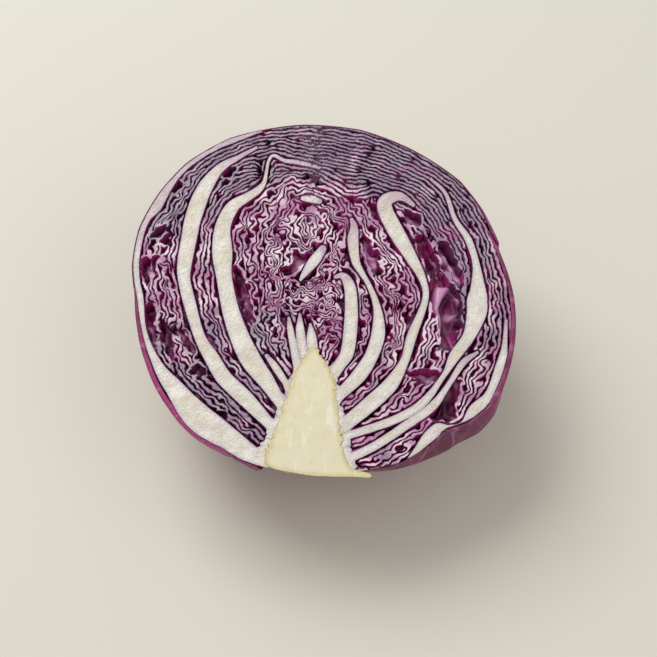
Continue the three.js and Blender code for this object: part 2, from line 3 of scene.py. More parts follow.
import bpy
import numpy as np
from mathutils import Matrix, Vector


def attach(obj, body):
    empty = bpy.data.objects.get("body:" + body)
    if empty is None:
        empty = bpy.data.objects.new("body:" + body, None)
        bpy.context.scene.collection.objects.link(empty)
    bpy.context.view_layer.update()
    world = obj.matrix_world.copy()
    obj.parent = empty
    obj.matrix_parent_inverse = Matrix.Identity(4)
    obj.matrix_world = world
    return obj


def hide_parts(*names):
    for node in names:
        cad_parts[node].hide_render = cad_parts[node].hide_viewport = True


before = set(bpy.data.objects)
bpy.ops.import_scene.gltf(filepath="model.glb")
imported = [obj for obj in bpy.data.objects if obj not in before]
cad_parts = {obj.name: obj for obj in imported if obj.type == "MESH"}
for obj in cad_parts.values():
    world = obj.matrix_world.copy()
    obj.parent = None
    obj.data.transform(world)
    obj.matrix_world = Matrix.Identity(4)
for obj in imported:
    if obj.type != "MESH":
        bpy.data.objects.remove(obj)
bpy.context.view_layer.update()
print("frame loaded:", len(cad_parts), "leaves and parts")

# All shapes are worked out in the head's own millimetres: x to the right along the cut face,
# y from the stem to the head's top, z out of the cut face.
head = {
    "faceTilt": 12.0,  # degrees that the cut face leans, stem end low
    "faceMiddle": (1.105, -4.932, 72.786),  # where x = y = z = 0 lies in the frame, mm
    "growingPoint": (-4.5, -45.0),  # inside the core, where the leaves grow from
}


def toFrame(points):
    # a turn about X by the tilt, then a move to the face's middle, millimetres to metres
    tilt = math.radians(head["faceTilt"])
    x, y, z = np.asarray(points, float).T
    turnedY = y * math.cos(tilt) - z * math.sin(tilt)
    turnedZ = y * math.sin(tilt) + z * math.cos(tilt)
    return (np.stack([x, turnedY, turnedZ], 1) + np.array(head["faceMiddle"])) * 0.001


def smoothStep(t):
    # 0 up to t = 0, 1 from t = 1 on, and 3t^2 - 2t^3 between
    s = np.clip(t, 0, 1)
    return s * s * (3 - 2 * s)


def interpolated(table, x):
    # the value of a table of (place, value) rows at x, straight between its rows
    return np.interp(x, *np.array(table, float).T)


# The cut face's grid
faceGrid = {
    "step": 0.38,  # mm between its points
    "left": -86.0, "right": 87.0,
    "low": -82.0, "high": 87.0,
}
step = faceGrid["step"]
gridX = np.arange(faceGrid["left"], faceGrid["right"], step)
gridY = np.arange(faceGrid["low"], faceGrid["high"], step)
faceX, faceY = np.meshgrid(gridX, gridY)
waveY = np.fft.fftfreq(len(gridY), step)[:, None]  # cycles per mm
waveX = np.fft.rfftfreq(len(gridX), step)[None]
waveSize = np.hypot(waveX, waveY)
waveTurn = np.arctan2(waveY, waveX)


def stretches(a, b, c, d, perStretch):
    # Catmull-Rom curve from b to c: the cubic whose end slopes are half the chord between neighbours
    a, b, c, d = (points[:, None] for points in (a, b, c, d))
    t = np.linspace(0, 1, perStretch, endpoint=False)[None, :, None]
    square, cube = 2 * a - 5 * b + 4 * c - d, 3 * b - a - 3 * c + d
    return (0.5 * (2 * b + (c - a) * t + square * t**2 + cube * t**3)).reshape(-1, b.shape[-1])


def curveThrough(points, perStretch):
    p = np.asarray(points, float)
    q = np.vstack([2 * p[0] - p[1], p, 2 * p[-1] - p[-2]])
    return np.vstack([stretches(q[:-3], q[1:-2], q[2:-1], q[3:], perStretch), p[-1:]])


def loopThrough(points, perStretch=6):
    # the same curve, closed on itself
    p = np.asarray(points, float)
    return stretches(*(np.roll(p, shift, 0) for shift in (1, 0, -1, -2)), perStretch)


def depthInside(outline, reach=4.0):
    # distance from each grid point to a closed outline, positive inside it, cut off at -reach
    low, high = outline.min(0) - reach, outline.max(0) + reach
    near = (faceX > low[0]) & (faceX < high[0]) & (faceY > low[1]) & (faceY < high[1])
    x, y = faceX[near], faceY[near]
    best, inside = np.full(x.shape, 1e9), np.zeros(x.shape, bool)
    for (x0, y0), (x1, y1) in zip(outline, np.roll(outline, -1, 0)):
        along = ((x - x0) * (x1 - x0) + (y - y0) * (y1 - y0)) / max((x1 - x0) ** 2 + (y1 - y0) ** 2, 1e-12)
        t = np.clip(along, 0, 1)
        best = np.minimum(best, (x - x0 - t * (x1 - x0)) ** 2 + (y - y0 - t * (y1 - y0)) ** 2)
        crossing = (y0 > y) != (y1 > y)
        if y1 != y0:
            inside ^= crossing & (x < (x1 - x0) * (y - y0) / (y1 - y0) + x0)
    depth = np.full(faceX.shape, -float(reach))
    depth[near] = np.maximum(np.where(inside, 1, -1) * np.sqrt(best), -reach)
    return depth


def depthInBand(band, rooted, openEnd, reach=7.0):
    # the same for a band of (x, y, width) along a curve; also how far along it each point lies.
    # A rooted band starts inside the core. An open end has no edge, so a blade can run on from it.
    if rooted:
        (x0, y0, w0), (x1, y1, _) = band[:2]
        reachBack = 4 / math.hypot(x1 - x0, y1 - y0)
        band = [(x0 + (x0 - x1) * reachBack, y0 + (y0 - y1) * reachBack, w0)] + band
    line = curveThrough(band, 8)
    low, high = line[:, :2].min(0) - reach - 5, line[:, :2].max(0) + reach + 5
    near = (faceX > low[0]) & (faceX < high[0]) & (faceY > low[1]) & (faceY < high[1])
    x, y = faceX[near], faceY[near]
    best, along, travelled = np.full(x.shape, -1e9), np.zeros(x.shape), 0.0
    for i, ((x0, y0, w0), (x1, y1, w1)) in enumerate(zip(line[:-1], line[1:])):
        length = math.hypot(x1 - x0, y1 - y0)
        share = ((x - x0) * (x1 - x0) + (y - y0) * (y1 - y0)) / length**2
        t = np.clip(share, 0, 1)
        depth = (w0 + t * (w1 - w0)) / 2 - np.hypot(x - x0 - t * (x1 - x0), y - y0 - t * (y1 - y0))
        if openEnd and i == len(line) - 2:
            depth = np.where(share > 1, -1e9, depth)
        closer = depth > best
        best[closer], along[closer] = depth[closer], travelled + t[closer] * length
        travelled += length
    depth, way = np.full(faceX.shape, -reach), np.zeros(faceX.shape)
    depth[near], way[near] = np.maximum(best, -reach), along
    return depth, way


def softNoise(seed, size):
    # random numbers with all waves shorter than about 1.6 sizes taken out, of unit spread
    numbers = np.random.default_rng(seed).standard_normal(faceX.shape)
    kept = np.exp(-2 * (waveSize * size) ** 2) * (waveSize > 0)
    noise = np.fft.irfft2(np.fft.rfft2(numbers) * kept, s=faceX.shape)
    return noise / noise.std()


def blurred(values, size):
    # a Gaussian mean over about size mm
    kept = np.exp(-2 * (math.pi * waveSize * size) ** 2)
    return np.fft.irfft2(np.fft.rfft2(values) * kept, s=faceX.shape)


def readAt(values, x, y):
    # the grid's values at any points, straight between the four nearest ones
    i = np.clip((x - gridX[0]) / step, 0, len(gridX) - 1.001)
    j = np.clip((y - gridY[0]) / step, 0, len(gridY) - 1.001)
    i0, j0 = i.astype(int), j.astype(int)
    s, t = i - i0, j - j0
    low = values[j0, i0] * (1 - s) + values[j0, i0 + 1] * s
    high = values[j0 + 1, i0] * (1 - s) + values[j0 + 1, i0 + 1] * s
    return low * (1 - t) + high * t


def wandered(values, seed, size, reach):
    # the same field with its lines wandering by about reach mm
    return readAt(values, faceX + reach * softNoise(seed, size), faceY + reach * softNoise(seed + 1, size))


# Outlines in the cut face
# The head's rim as [degrees from the head's top, distance from the growing point], left negative.
rim = np.array([
    (-155, 32), (-141, 36), (-131, 39), (-118, 43), (-104, 53), (-90, 62), (-76, 73), (-66, 82),
    (-58, 90), (-52, 99), (-44, 109), (-35, 117), (-27, 123), (-17, 127), (-3, 128), (9, 127),
    (20, 123.5), (32, 119), (40, 113), (50, 104), (61, 97), (72, 89), (84, 80), (92, 74),
    (98, 66.5), (103, 57), (113, 51), (126, 44.8), (139, 38.5), (155, 33),
])
coreOutline = [
    (-24, -72), (-22, -61), (-18, -49), (-15, -39.5), (-12, -31), (-8.5, -25), (-5, -20), (-2, -24),
    (3, -33), (4.5, -42), (5.5, -50), (7, -61), (8, -68), (11, -73.5), (18, -75.6), (18.6, -77.4),
    (11, -77.2), (0, -77), (-10, -76),
]
wrapperRibInside = [  # inner edge of the left outer leaf's rib
    (-28, -64.5), (-39.5, -54.5), (-52, -44), (-60.5, -35.5), (-68.5, -27), (-75, -13.5), (-77, 2.5),
    (-80, 13.5), (-80, 20.5), (-77.5, 34), (-71, 42), (-66.5, 51.5), (-60, 61.5), (-46, 71), (-27.5, 79),
]
# How far that leaf's pale flesh reaches in from the rim at least: [degrees from the head's top, mm].
wrapperRibStrip = [
    (-112, -3), (-100, 2), (-88, 3.6), (-60, 3.4), (-30, 2.8), (-14, 2.2), (-9, 0.4), (-6, -3),
]
# Sliced midribs: [x, y, width] along the middle of each, from the core outwards.
ribs = {
    "leafLeft1Rib": [
        (-23, -54.5, 5), (-32.5, -44, 7), (-42, -34.5, 7), (-47.5, -25.5, 6.5), (-53, -15.5, 5),
        (-57.5, -0.5, 5.6), (-60, 10, 5.6), (-60, 17, 6.6), (-58.5, 28, 7), (-56.5, 39.5, 7.5),
        (-52.5, 51.5, 7), (-46, 61.5, 4.5), (-37, 67.5, 2.5), (-29.5, 72, 1.6),
    ],
    "leafLeft2Rib": [
        (-18.5, -45.5, 5), (-24, -36.5, 7), (-31, -26.5, 9), (-36, -16, 8.5), (-40, -4, 7.5),
        (-43, 11, 7), (-44, 22.5, 9), (-44, 34, 7), (-40, 43.5, 6), (-34.5, 47.5, 4.5), (-29, 51.5, 3.5),
        (-26.5, 55, 2.2), (-25.5, 60, 1.7), (-24.5, 65.5, 1.6), (-22.5, 68, 1.8), (-17.5, 65.5, 2.2),
        (-11, 64.5, 2.4), (-2, 62, 1.8),
    ],
    "youngLeaf1": [(-15.5, -39, 3), (-16.5, -36.5, 3), (-20.5, -30, 3.5), (-24.5, -24.5, 2)],
    "youngLeaf2": [(-11.5, -29, 4), (-13, -22, 3.4), (-14.6, -13, 3), (-15.3, -7.5, 1.5)],
    "youngLeaf3": [(-8.6, -25, 4), (-9.8, -19.8, 3.8), (-10.5, -13, 3.9), (-10.6, -6, 1.4)],
    "heartBud": [(-5.2, -22, 4.6), (-5.6, -16.5, 4.4), (-6.2, -10.5, 1.4)],
    "youngLeaf4": [
        (3.5, -32, 6), (6.5, -28, 5.4), (9.5, -22.5, 6), (11, -8.5, 6), (11, 2.5, 5.5), (10, 8, 5),
        (7.5, 11.5, 3.2), (4.5, 11, 2),
    ],
    "heartRib1": [(-10.5, 9.5, 1.5), (-8, 13.5, 3.4), (-4.5, 18.5, 5), (-1, 24, 3.5)],
    "heartRib2": [(-9.5, 47.5, 2.6), (-6, 47.2, 4), (-2.5, 46.2, 2.8)],
    "leafRight4Rib": [
        (6.5, -41.5, 5), (14, -33.5, 6.5), (19.5, -24.5, 6), (22.5, -14, 6), (22, -2.5, 3.5),
        (18.5, 7.5, 2.5), (15.5, 13, 3), (13, 18.5, 4), (12, 28, 5), (12.5, 34, 3.5), (11.5, 37.5, 2),
    ],
    "leafRight3Rib": [
        (8, -55, 6), (18.5, -46, 7), (27.5, -37, 6.5), (33.5, -26.5, 4), (36.5, -16, 4.4), (42.5, 0.5, 3),
        (41.5, 10, 3.5), (37, 19.5, 5.5), (31.5, 30, 7), (26.5, 40.5, 7), (26, 46, 6.4), (30.5, 48.5, 5),
        (34.5, 47.5, 3.5), (38.5, 44, 2),
    ],
    "leafRight2Rib": [
        (9.5, -59.5, 3.5), (28, -53, 4), (40, -46, 4), (49.5, -33.5, 2.5), (54.5, -24.5, 5),
        (60.5, -16, 5.5), (64, -6, 8.5), (64.5, 0, 9), (65, 5, 7), (64.5, 16.5, 3.5), (61.5, 28, 3.4),
        (56, 37.5, 2.5), (52, 50, 2), (45.5, 57, 1.6),
    ],
    "leafRight1Rib": [
        (11.5, -68.5, 4), (20.5, -64, 4), (33, -55.5, 4), (44.5, -47, 4), (51.5, -37.5, 2.5),
        (58, -27.5, 3), (64, -23, 1.6),
    ],
    "wrapperRightRib": [
        (34.5, -70, 2), (39, -65.5, 4.5), (43.5, -60, 6), (47, -56.2, 4.4), (51.5, -55.6, 1.8),
        (57, -54, 1.8), (62.5, -48.5, 6), (68.5, -41.5, 4), (73.5, -30, 5), (75.5, -20, 2.6),
        (76.5, -8.5, 1.6),
    ],
}
# The ribs join round the core in a collar of pale flesh: [y, width].
collar = [(-76, 0.6), (-70, 3.2), (-65, 3.6), (-53, 2.2), (-42, 1.1), (-35, 0.7), (-20, 0.5)]
openEnds = ("leafLeft1Rib", "leafLeft2Rib", "leafRight3Rib", "leafRight2Rib", "wrapperRightRib")
# Hollows where the leaves stand apart: outlines in the cut face.
hollows = [
    [(-76.5, -2.5), (-72, -2.5), (-71.5, -11), (-71, -20), (-72.5, -20), (-75, -13)],
    [(-78, 19.5), (-75.5, 20), (-75, 14), (-75.5, 7.5), (-76.5, 8.5), (-78.5, 14)],
    [(-73.5, 20), (-70, 20), (-72, 17.5), (-74, 13.5)],
    [(-64.5, 55), (-63, 55.5), (-62.5, 52.5), (-66.5, 49.5), (-67, 50.5)],
    [(-74.5, 30), (-72.5, 33), (-68.5, 35.5), (-69.5, 32.5), (-72, 29), (-74, 29)],
    [(-71, 28), (-67, 32), (-67, 29.5), (-68, 26.5)],
    [(-67.5, 13.5), (-65.5, 13), (-64.5, 9.5), (-64, 6), (-65.5, 7.5)],
    [(-39, 15), (-36, 14), (-33.5, 7), (-31.5, -2), (-30, -9), (-31.5, -10.5), (-34, -6), (-36.5, 0),
     (-38.5, 7)],
    [(16, 31), (19, 27), (22.5, 19), (24, 12), (21.5, 12), (18.5, 19), (16, 26)],
    [(-44.5, 58), (-42, 62), (-39, 62.5), (-40.5, 58.5), (-43, 57.5)],
    [(-13.5, 23), (-10.5, 21.5), (-6.5, 22.5), (-6.5, 19.5), (-10.5, 15), (-16, 11.5), (-17.5, 14),
     (-13.5, 18)],
    [(19.5, 48.5), (20.5, 45), (22.5, 44), (23, 38), (21, 38), (19, 44.5)],
    [(34.5, 42), (37.5, 41.5), (41, 37), (40.5, 35), (35.5, 36.5)],
    [(38.5, 29), (43, 29), (48, 18), (48.5, 13), (45, 12), (41, 20)],
    [(48.7, 27), (53, 26), (57, 16), (58.5, 10), (57.5, 5), (53.8, 11.5), (50.4, 17.6)],
    [(45.5, 11.5), (49, 13), (53.5, 8.5), (57.5, 2), (58, -6), (57, -13), (54, -21), (50, -20), (47, -6.5),
     (44.5, 0.5)],
    [(34.5, -31.5), (40, -31), (48, -30.5), (46.5, -34.5), (42, -36), (36.5, -33.5)],
    [(48, -44), (53, -36.5), (57, -35.5), (55.5, -42), (53.5, -47.5), (54, -52.5), (47.5, -53),
     (44, -51.5)],
    [(59.5, -25), (62.5, -23), (64.5, -13), (63, -11.5), (61, -17.5)],
    [(-69, -9.5), (-67, -11), (-64.5, -17.5), (-63.5, -26.5), (-67, -21), (-69, -15.5)],
    [(-61.5, -9.5), (-58.5, -15.5), (-54.5, -22), (-56.5, -23), (-59.5, -17.5)],
    [(-55.5, -29.5), (-52.5, -28), (-50, -31), (-52, -34), (-55, -32)],
    [(-45.5, -49), (-42.5, -49), (-40, -52.5), (-43.5, -52.5)],
]
# How the thin blades run: [crumpling 0 to 1, points along one of them].
runs = [
    (0.1, [(-60, 58), (-46, 68), (-27.5, 72.5), (-11, 72.5), (6.5, 70.5), (24, 66.5), (37, 62), (50, 55),
           (59, 46.5), (66.5, 35), (71.5, 21), (74.5, 9.5)]),
    (0.1, [(-27.5, 66.5), (-22, 69.5), (-11, 66.5), (6.5, 63.5), (24, 60), (37, 55), (45.5, 50.5),
           (57, 36.5)]),
    (0.1, [(-15.5, 64.5), (0, 61.5), (4.5, 60.5), (8, 57), (11.5, 55.5), (18, 57), (25.5, 51.5)]),
    (0.1, [(-3, 58), (2, 54.5), (5.5, 50.5), (11, 48.5), (17.5, 50), (20.5, 53.5), (23, 53)]),
    (0.1, [(27, 56), (34.5, 53.5), (41, 50.5), (46, 45.5), (53.5, 31.5), (58.5, 25)]),
    (0.1, [(32.5, 53.5), (37.5, 48.5), (43, 41), (46.5, 34.5), (49.5, 31)]),
    (0.15, [(62.5, 39.5), (66.5, 30.5), (74.5, 8.5), (76.5, 0.5), (77.5, -8.5), (77, -17.5)]),
    (0.1, [(-40.5, 58.5), (-37, 63), (-32.5, 65.5), (-29, 63.5), (-28.5, 60), (-32.5, 60), (-37, 60)]),
    (0.1, [(-44.5, 51.5), (-42, 55.5), (-37, 58), (-30, 59.5), (-27.5, 56), (-32.5, 53.5), (-38.5, 51.5)]),
    (0.5, [(-26, -61.5), (-45.5, -46), (-56.5, -37.5), (-64, -26.5), (-69.5, -15.5), (-73, 0.5), (-75, 28),
           (-71, 39.5), (-65, 49), (-58.5, 60)]),
    (0.6, [(-27.5, -55), (-48, -37.5), (-54.5, -26.5), (-59, -15.5), (-65, 7.5), (-66.5, 18.5),
           (-65.5, 30.5), (-62.5, 41), (-50, 61)]),
    (0.5, [(-20, -49.5), (-35.5, -34.5), (-46.5, -15.5), (-51.5, 5), (-53.5, 14), (-50.5, 35), (-42, 51.5),
           (-32.5, 56)]),
    (0.5, [(-14, -34.5), (-24, -20), (-33, 0.5), (-34.5, 9.5), (-35.5, 36.5), (-32.5, 43), (-21.5, 54)]),
    (1.2, [(5, -39), (9, -32), (14, -24), (16.5, -15.5), (17, -4), (15.5, 5)]),
    (0.9, [(8, -49.5), (23, -34.5), (31, -15.5), (31.5, -4), (25.5, 18), (20, 28), (13, 44.5)]),
    (0.6, [(10.5, -56), (31, -43), (44, -26.5), (48.5, -13), (52, 14), (48, 28), (41, 39.5), (34.5, 44.5)]),
    (0.3, [(15.5, -66), (27, -58.5), (39.5, -49.5), (48, -40.5)]),
    (0.9, [(19.5, -71), (29, -66.5), (36, -61.5), (41.5, -55)]),
    (0.5, [(58, -53), (60.5, -42), (64, -31), (69.5, -22), (73.5, 5), (70.5, 18), (61.5, 39.5), (54, 49)]),
    (0.8, [(-27, 42), (-29, 30.5), (-30, 18), (-28.5, 5), (-24, -20)]),
    (1.1, [(-17.5, 51.5), (-19.5, 39.5), (-19, 14), (-21, 0.5), (-19, -13), (-17, -22)]),
    (0.8, [(-17, 36.5), (-14.5, 43), (-8.5, 44.5), (-3, 42), (0, 36.5), (-1.5, 29), (-6.5, 25.5),
           (-12.5, 26), (-16, 31.5), (-17, 36.5)]),
    (0.7, [(-24, 44.5), (-17.5, 50), (-11, 53), (-3, 51.5), (4.5, 45.5), (8.5, 36.5), (9.5, 23.5)]),
    (0.4, [(-24.5, 51.5), (-17.5, 55), (-8.5, 56), (0, 53.5), (6.5, 47.5), (11.5, 41), (16, 32.5),
           (21.5, 23.5)]),
    (1.1, [(5, 39.5), (7.5, 28), (5.5, 16.5), (3, 7.5)]),
    (1.2, [(-15, 7.5), (-6.5, 5), (2, 7), (7.5, 0.5)]),
    (1.2, [(-15, -4), (-6.5, -5), (2, -5), (7.5, -7.5)]),
    (1.2, [(-3, -20), (1.5, -13), (6.5, -17.5)]),
]
# Width of skin that rounds over the cut's rim: [degrees from the head's top, mm].
skinShown = [
    (-150, 0.4), (-115, 0.5), (-100, 1.0), (-86, 2.6), (-73, 2.2), (-62, 1.5), (-56, 0.6), (-50, 0.35),
    (38, 0.35), (48, 1.4), (60, 1.8), (72, 2.2), (84, 2.2), (98, 1.8), (114, 0.8), (128, 0.4), (150, 0.35),
]

growX, growY = head["growingPoint"]
rimTurn = np.radians(np.linspace(-155, 155, 156))
rimAway = interpolated(rim, np.degrees(rimTurn))
rimLine = np.stack([growX + rimAway * np.sin(rimTurn), growY + rimAway * np.cos(rimTurn)], 1)
rimLine = np.vstack([rimLine, [(9.5, -76.5), (0, -76.5), (-16, -76)]])
depthInRim = depthInside(rimLine, 20)
turnFromTop = np.degrees(np.arctan2(faceX - growX, faceY - growY))
depthInFlesh = depthInRim - interpolated(skinShown, turnFromTop) - 0.05  # inside the outer skin
coreLine = loopThrough(coreOutline)
tearing = 0.32 * smoothStep((faceY + 72) / 6)  # mm that the core's edge wanders above its trimmed base
depthInCore = wandered(depthInside(coreLine, 10), 21, 1.5, tearing)
ribDepth, ribWay = {}, {}
for name, band in ribs.items():
    rooted = not name.startswith(("wrapper", "heart"))
    ribDepth[name], ribWay[name] = depthInBand(band, rooted, name in openEnds)
beyondLeft = [(-25, 90), (-100, 90), (-100, -90), (-20, -90), (-22.5, -63)]
wrapperSide = np.vstack([curveThrough(wrapperRibInside, 4), beyondLeft])
rimStrip = interpolated(wrapperRibStrip, turnFromTop) - depthInRim
ribDepth["wrapperLeftRib"] = np.maximum(depthInside(wrapperSide, 7), rimStrip)
rosyRim = {"start": -10.0, "most": 38.0, "length": 42.0}  # mm: this rib turns half rosy towards the top
ribWay["wrapperLeftRib"] = np.clip(faceY - rosyRim["start"], 0, rosyRim["most"])
nearestRib = np.max(list(ribDepth.values()), 0)
collarWidth = interpolated(collar, faceY) + 0.35 * softNoise(20, 2.5)
# near the core the ribs and the collar join in a soft maximum, 0.5 log(sum of exp(depth / 0.5))
joined = 0.5 * np.log(sum(np.exp(d / 0.5) for d in [*ribDepth.values(), depthInCore + collarWidth]))
anyRib = nearestRib + (joined - nearestRib) * smoothStep((depthInCore + 9) / 3)
inHollow = np.max([depthInside(loopThrough(outline)) for outline in hollows], 0)
inHollow = wandered(inHollow, 18, 2.4, 0.4)
print("outlines laid out on", faceX.shape[1], "by", faceX.shape[0], "points")

# The thin blades
blades = {
    "pitchAtTop": 1.75, "pitch": 2.2,  # mm from one blade to the next
    "thickness": 1.72, "mostOfPitch": 0.75,  # mm, and the most of a pitch that a blade takes
    "rounds": 13,
    "crumple": 1.7,  # mm that the crumpling shifts a blade
    "crumpleSizes": (4.4, 2.6, 1.1),  # mm, of its larger, smaller and finest waves
    "quiver": 0.11,  # mm, of the finest waves, which run everywhere
    "clearance": 0.32,  # mm from a blade to a rib beside it
    "pitchSpread": 0.22, "turnSpread": 13.0,  # share of a pitch, and degrees, that a brush lets through
    "turnBlend": 11.0,  # degrees over which one direction of brushing passes into the next
    "gain": 2.2,  # how hard each round squeezes the pattern
}


def runAngles():
    # each run pulls the angle near it towards its own, by its length over the fourth power of the distance
    far = slice(None, None, max(1, round(2.8 / step)))  # worked out about every 2.8 mm
    x, y = faceX[far, far], faceY[far, far]
    lines = [(crumple, curveThrough(points, 4), 1.0) for crumple, points in runs]
    lines += [(0.5, curveThrough(band, 3)[:, :2], 0.6) for band in ribs.values()]
    lines += [(0.5, curveThrough(wrapperRibInside, 3), 0.6), (0.1, rimLine[:156], 0.6)]
    pull, total, crumpling = np.zeros(x.shape, complex), np.zeros(x.shape), np.zeros(x.shape)
    for crumple, line, weight in lines:
        middle, chord = (line[1:] + line[:-1]) / 2, line[1:] - line[:-1]
        away = (x[..., None] - middle[:, 0]) ** 2 + (y[..., None] - middle[:, 1]) ** 2
        share = weight * np.hypot(*chord.T) / (away + 6) ** 2
        pull += (share * np.exp(2j * np.arctan2(chord[:, 1], chord[:, 0]))).sum(-1)
        total += share.sum(-1)
        crumpling += (share * crumple).sum(-1)
    spread = far.step
    j = np.minimum(np.arange(len(gridY)) / spread, x.shape[0] - 1.001)
    i = np.minimum(np.arange(len(gridX)) / spread, x.shape[1] - 1.001)
    j0, i0 = j.astype(int), i.astype(int)
    t, s = (j - j0)[:, None], (i - i0)[None]

    def finer(values):
        low = values[np.ix_(j0, i0)] * (1 - s) + values[np.ix_(j0, i0 + 1)] * s
        high = values[np.ix_(j0 + 1, i0)] * (1 - s) + values[np.ix_(j0 + 1, i0 + 1)] * s
        return low * (1 - t) + high * t

    return np.angle(finer(pull / total)) / 2, finer(crumpling / total)


def heldInPlace(pattern):
    # 1 in ribs and core; -1 in hollows, outside the head and about half a mm round ribs and core;
    # nearly 1 round the hollows, so that a blade lines each
    held = np.where(depthInRim < 0.2, -1, pattern)
    held = np.where(anyRib > 0, 1, np.where(anyRib > -0.55, -1, held))
    held = np.where(depthInCore > 0, 1, np.where(depthInCore > -0.4, -1, held))
    lining = np.where(inHollow > -1.2, np.maximum(held, 0.7), held)
    return np.where(inHollow > 0, -1, lining)


def bell(angle, direction, width):
    # near 1 where a line at this angle runs in the direction, falling off over width degrees
    apart = np.angle(np.exp(2j * (angle - direction))) / 2
    return np.exp(-((apart / math.radians(width)) ** 2) / 2)


def brushed(pattern, angle, topShare, turns=12):
    # each round keeps only the waves that are a pitch long and square to the run of the blades,
    # then squeezes the pattern to -1..1 and puts the ribs and hollows back
    shares = np.array([bell(angle, math.pi * k / turns, blades["turnBlend"]) for k in range(turns)])
    weights = shares / np.sum(shares, 0)
    bands = []
    for pitch in (blades["pitchAtTop"], blades["pitch"]):
        radial = np.exp(-(((waveSize * pitch - 1) / blades["pitchSpread"]) ** 2) / 2)
        square = [math.pi * (k / turns + 0.5) for k in range(turns)]
        bands.append([radial * bell(waveTurn, turn, blades["turnSpread"]) for turn in square])
    for _ in range(blades["rounds"]):
        waves, layered = np.fft.rfft2(pattern), np.zeros(pattern.shape)
        for k in range(turns):
            fine = np.fft.irfft2(waves * bands[0][k], s=pattern.shape)
            coarse = np.fft.irfft2(waves * bands[1][k], s=pattern.shape)
            layered += weights[k] * (fine * topShare + coarse * (1 - topShare))
        layered /= layered[depthInRim > 0].std()
        pattern = heldInPlace(np.tanh(blades["gain"] * layered))
    return layered


def foldedLayers():
    # smooth layers first, levelled to -1..1, then crumpled by a soft shift of the whole pattern
    angle, crumpling = runAngles()
    atTop = np.clip((faceY - 20) / 20, 0, 1) * np.clip((30 - depthInRim) / 8, 0, 1)
    atRight = np.clip((faceX - 45) / 10, 0, 1) * np.clip((faceY + 30) / 30, 0, 1)
    topShare = np.maximum(atTop, 0.6 * atRight)
    start = heldInPlace(np.random.default_rng(3).standard_normal(faceX.shape) * 0.5)
    smooth = brushed(start, angle, topShare)
    level = 1.12 * smooth / np.sqrt(2 * np.maximum(blurred(smooth**2, 1.5), 0) + 0.004)
    large, small, fine = blades["crumpleSizes"]
    clear = np.clip(np.minimum(-anyRib, -depthInCore) / 3, 0, 1)
    reach = blades["crumple"] * np.clip(crumpling, 0.06, 1.2) * (0.1 + 0.9 * clear)
    shifts = []
    for seed in (11, 12):
        waves = 0.8 * softNoise(seed, large) + 0.45 * softNoise(seed + 2, small)
        shifts.append(reach * waves + blades["quiver"] * softNoise(seed + 4, fine))
    return np.clip(readAt(level, faceX + shifts[0], faceY + shifts[1]), -0.999, 0.999), topShare


# Each layer is a ridge of the pattern. How far a point lies from the middle of its blade follows
# from the pattern's height there and from how quickly it rises and falls nearby.
layers, topShare = foldedLayers()
slopeY, slopeX = np.gradient(layers, step)
steepness = np.maximum(blurred(slopeX**2 + slopeY**2, 0.9), 0)
quickness = np.clip(np.sqrt(steepness / np.maximum(blurred(1 - layers**2, 0.9), 0.02)), 0.8, 9)
bladeHalf = np.minimum(blades["thickness"], blades["mostOfPitch"] * (2 * math.pi / quickness)) / 2
bladeDepth = bladeHalf - np.arccos(layers) / quickness
unevenHalf = 0.45 * (1 + 0.9 * np.clip(softNoise(17, 3), -1.5, 1.5))
lining = unevenHalf - np.abs(inHollow + 0.6)  # a blade of uneven thickness round each hollow
bladeDepth = np.maximum(bladeDepth, lining)
for other in (-anyRib - blades["clearance"], -depthInCore - 0.3, -inHollow, depthInFlesh):
    bladeDepth = np.minimum(bladeDepth, other)
ribbed = np.minimum(anyRib, depthInFlesh)
ribbed = np.where(depthInCore > -0.3, np.minimum(ribbed, -depthInCore - 0.02), ribbed)
faceDepth = np.maximum(bladeDepth, ribbed)  # mm inside the nearest cut edge, negative in a gap
print("blades folded")


# The head in the round
# theta is the angle from the head's top seen from the growing point, phi the turn about its axis:
# 0 at the cut face's right side, 90 at the middle of the back, 180 at its left side.
wrappers = {
    "backMiddle": (-1.0, 9.0), "backRadius": 82.5,  # the ball that the round back follows
    "restLevel": 63.43,  # from the growing point down to the level on which it rests
    "thickness": 2.2, "edgeThickness": 0.9, "gap": 1.6,
    "crinkle": 0.45,  # mm, height of the small unevenness of the leaves
    "swell": 0.55,  # mm, height of their broad unevenness
    "midrib": 1.8,  # mm that a midrib stands out near the stem
    "tuck": 5.0,  # mm that the right leaf's cut edge lies inside the envelope
    "thetaStep": 1.3, "phiStep": 1.5,
}
wrapperEnds = {  # [phi, theta] where each outer leaf ends
    "wrapperLeft": [(0, 47), (36, 51), (54, 45), (90, 44), (99, 48), (108, 57), (117, 76), (126, 98),
                    (135, 115), (144, 129), (153, 137), (180, 141)],
    "wrapperUnder": [(0, 44), (9, 54), (18, 66), (27, 80), (36, 97), (45, 114), (54, 129), (63, 140),
                     (72, 146), (117, 146), (126, 137), (135, 124), (144, 108), (153, 92), (162, 76),
                     (180, 50)],
    "wrapperRight": [(0, 151), (36, 148), (54, 139), (72, 118), (90, 96), (117, 76), (153, 62), (180, 55)],
}
swelling = [  # of the right outer leaf just under the cut: [theta, mm]
    (80, 0), (92, 3.5), (98, 5.5), (103, 7), (108, 6), (113, 4.3), (120, 2.4), (128, 1.2), (136, 0),
]
coreAway = [  # the core's outline as [degrees from the head's top, distance], right positive
    (-170, 32), (-145, 33), (-137, 26), (-123, 19.8), (-104, 14.1), (-90, 12), (-63, 11.7), (-28, 16),
    (0, 24), (7, 21), (32, 14), (72, 9.6), (127, 13), (144, 19.8), (153, 27), (160, 36),
]


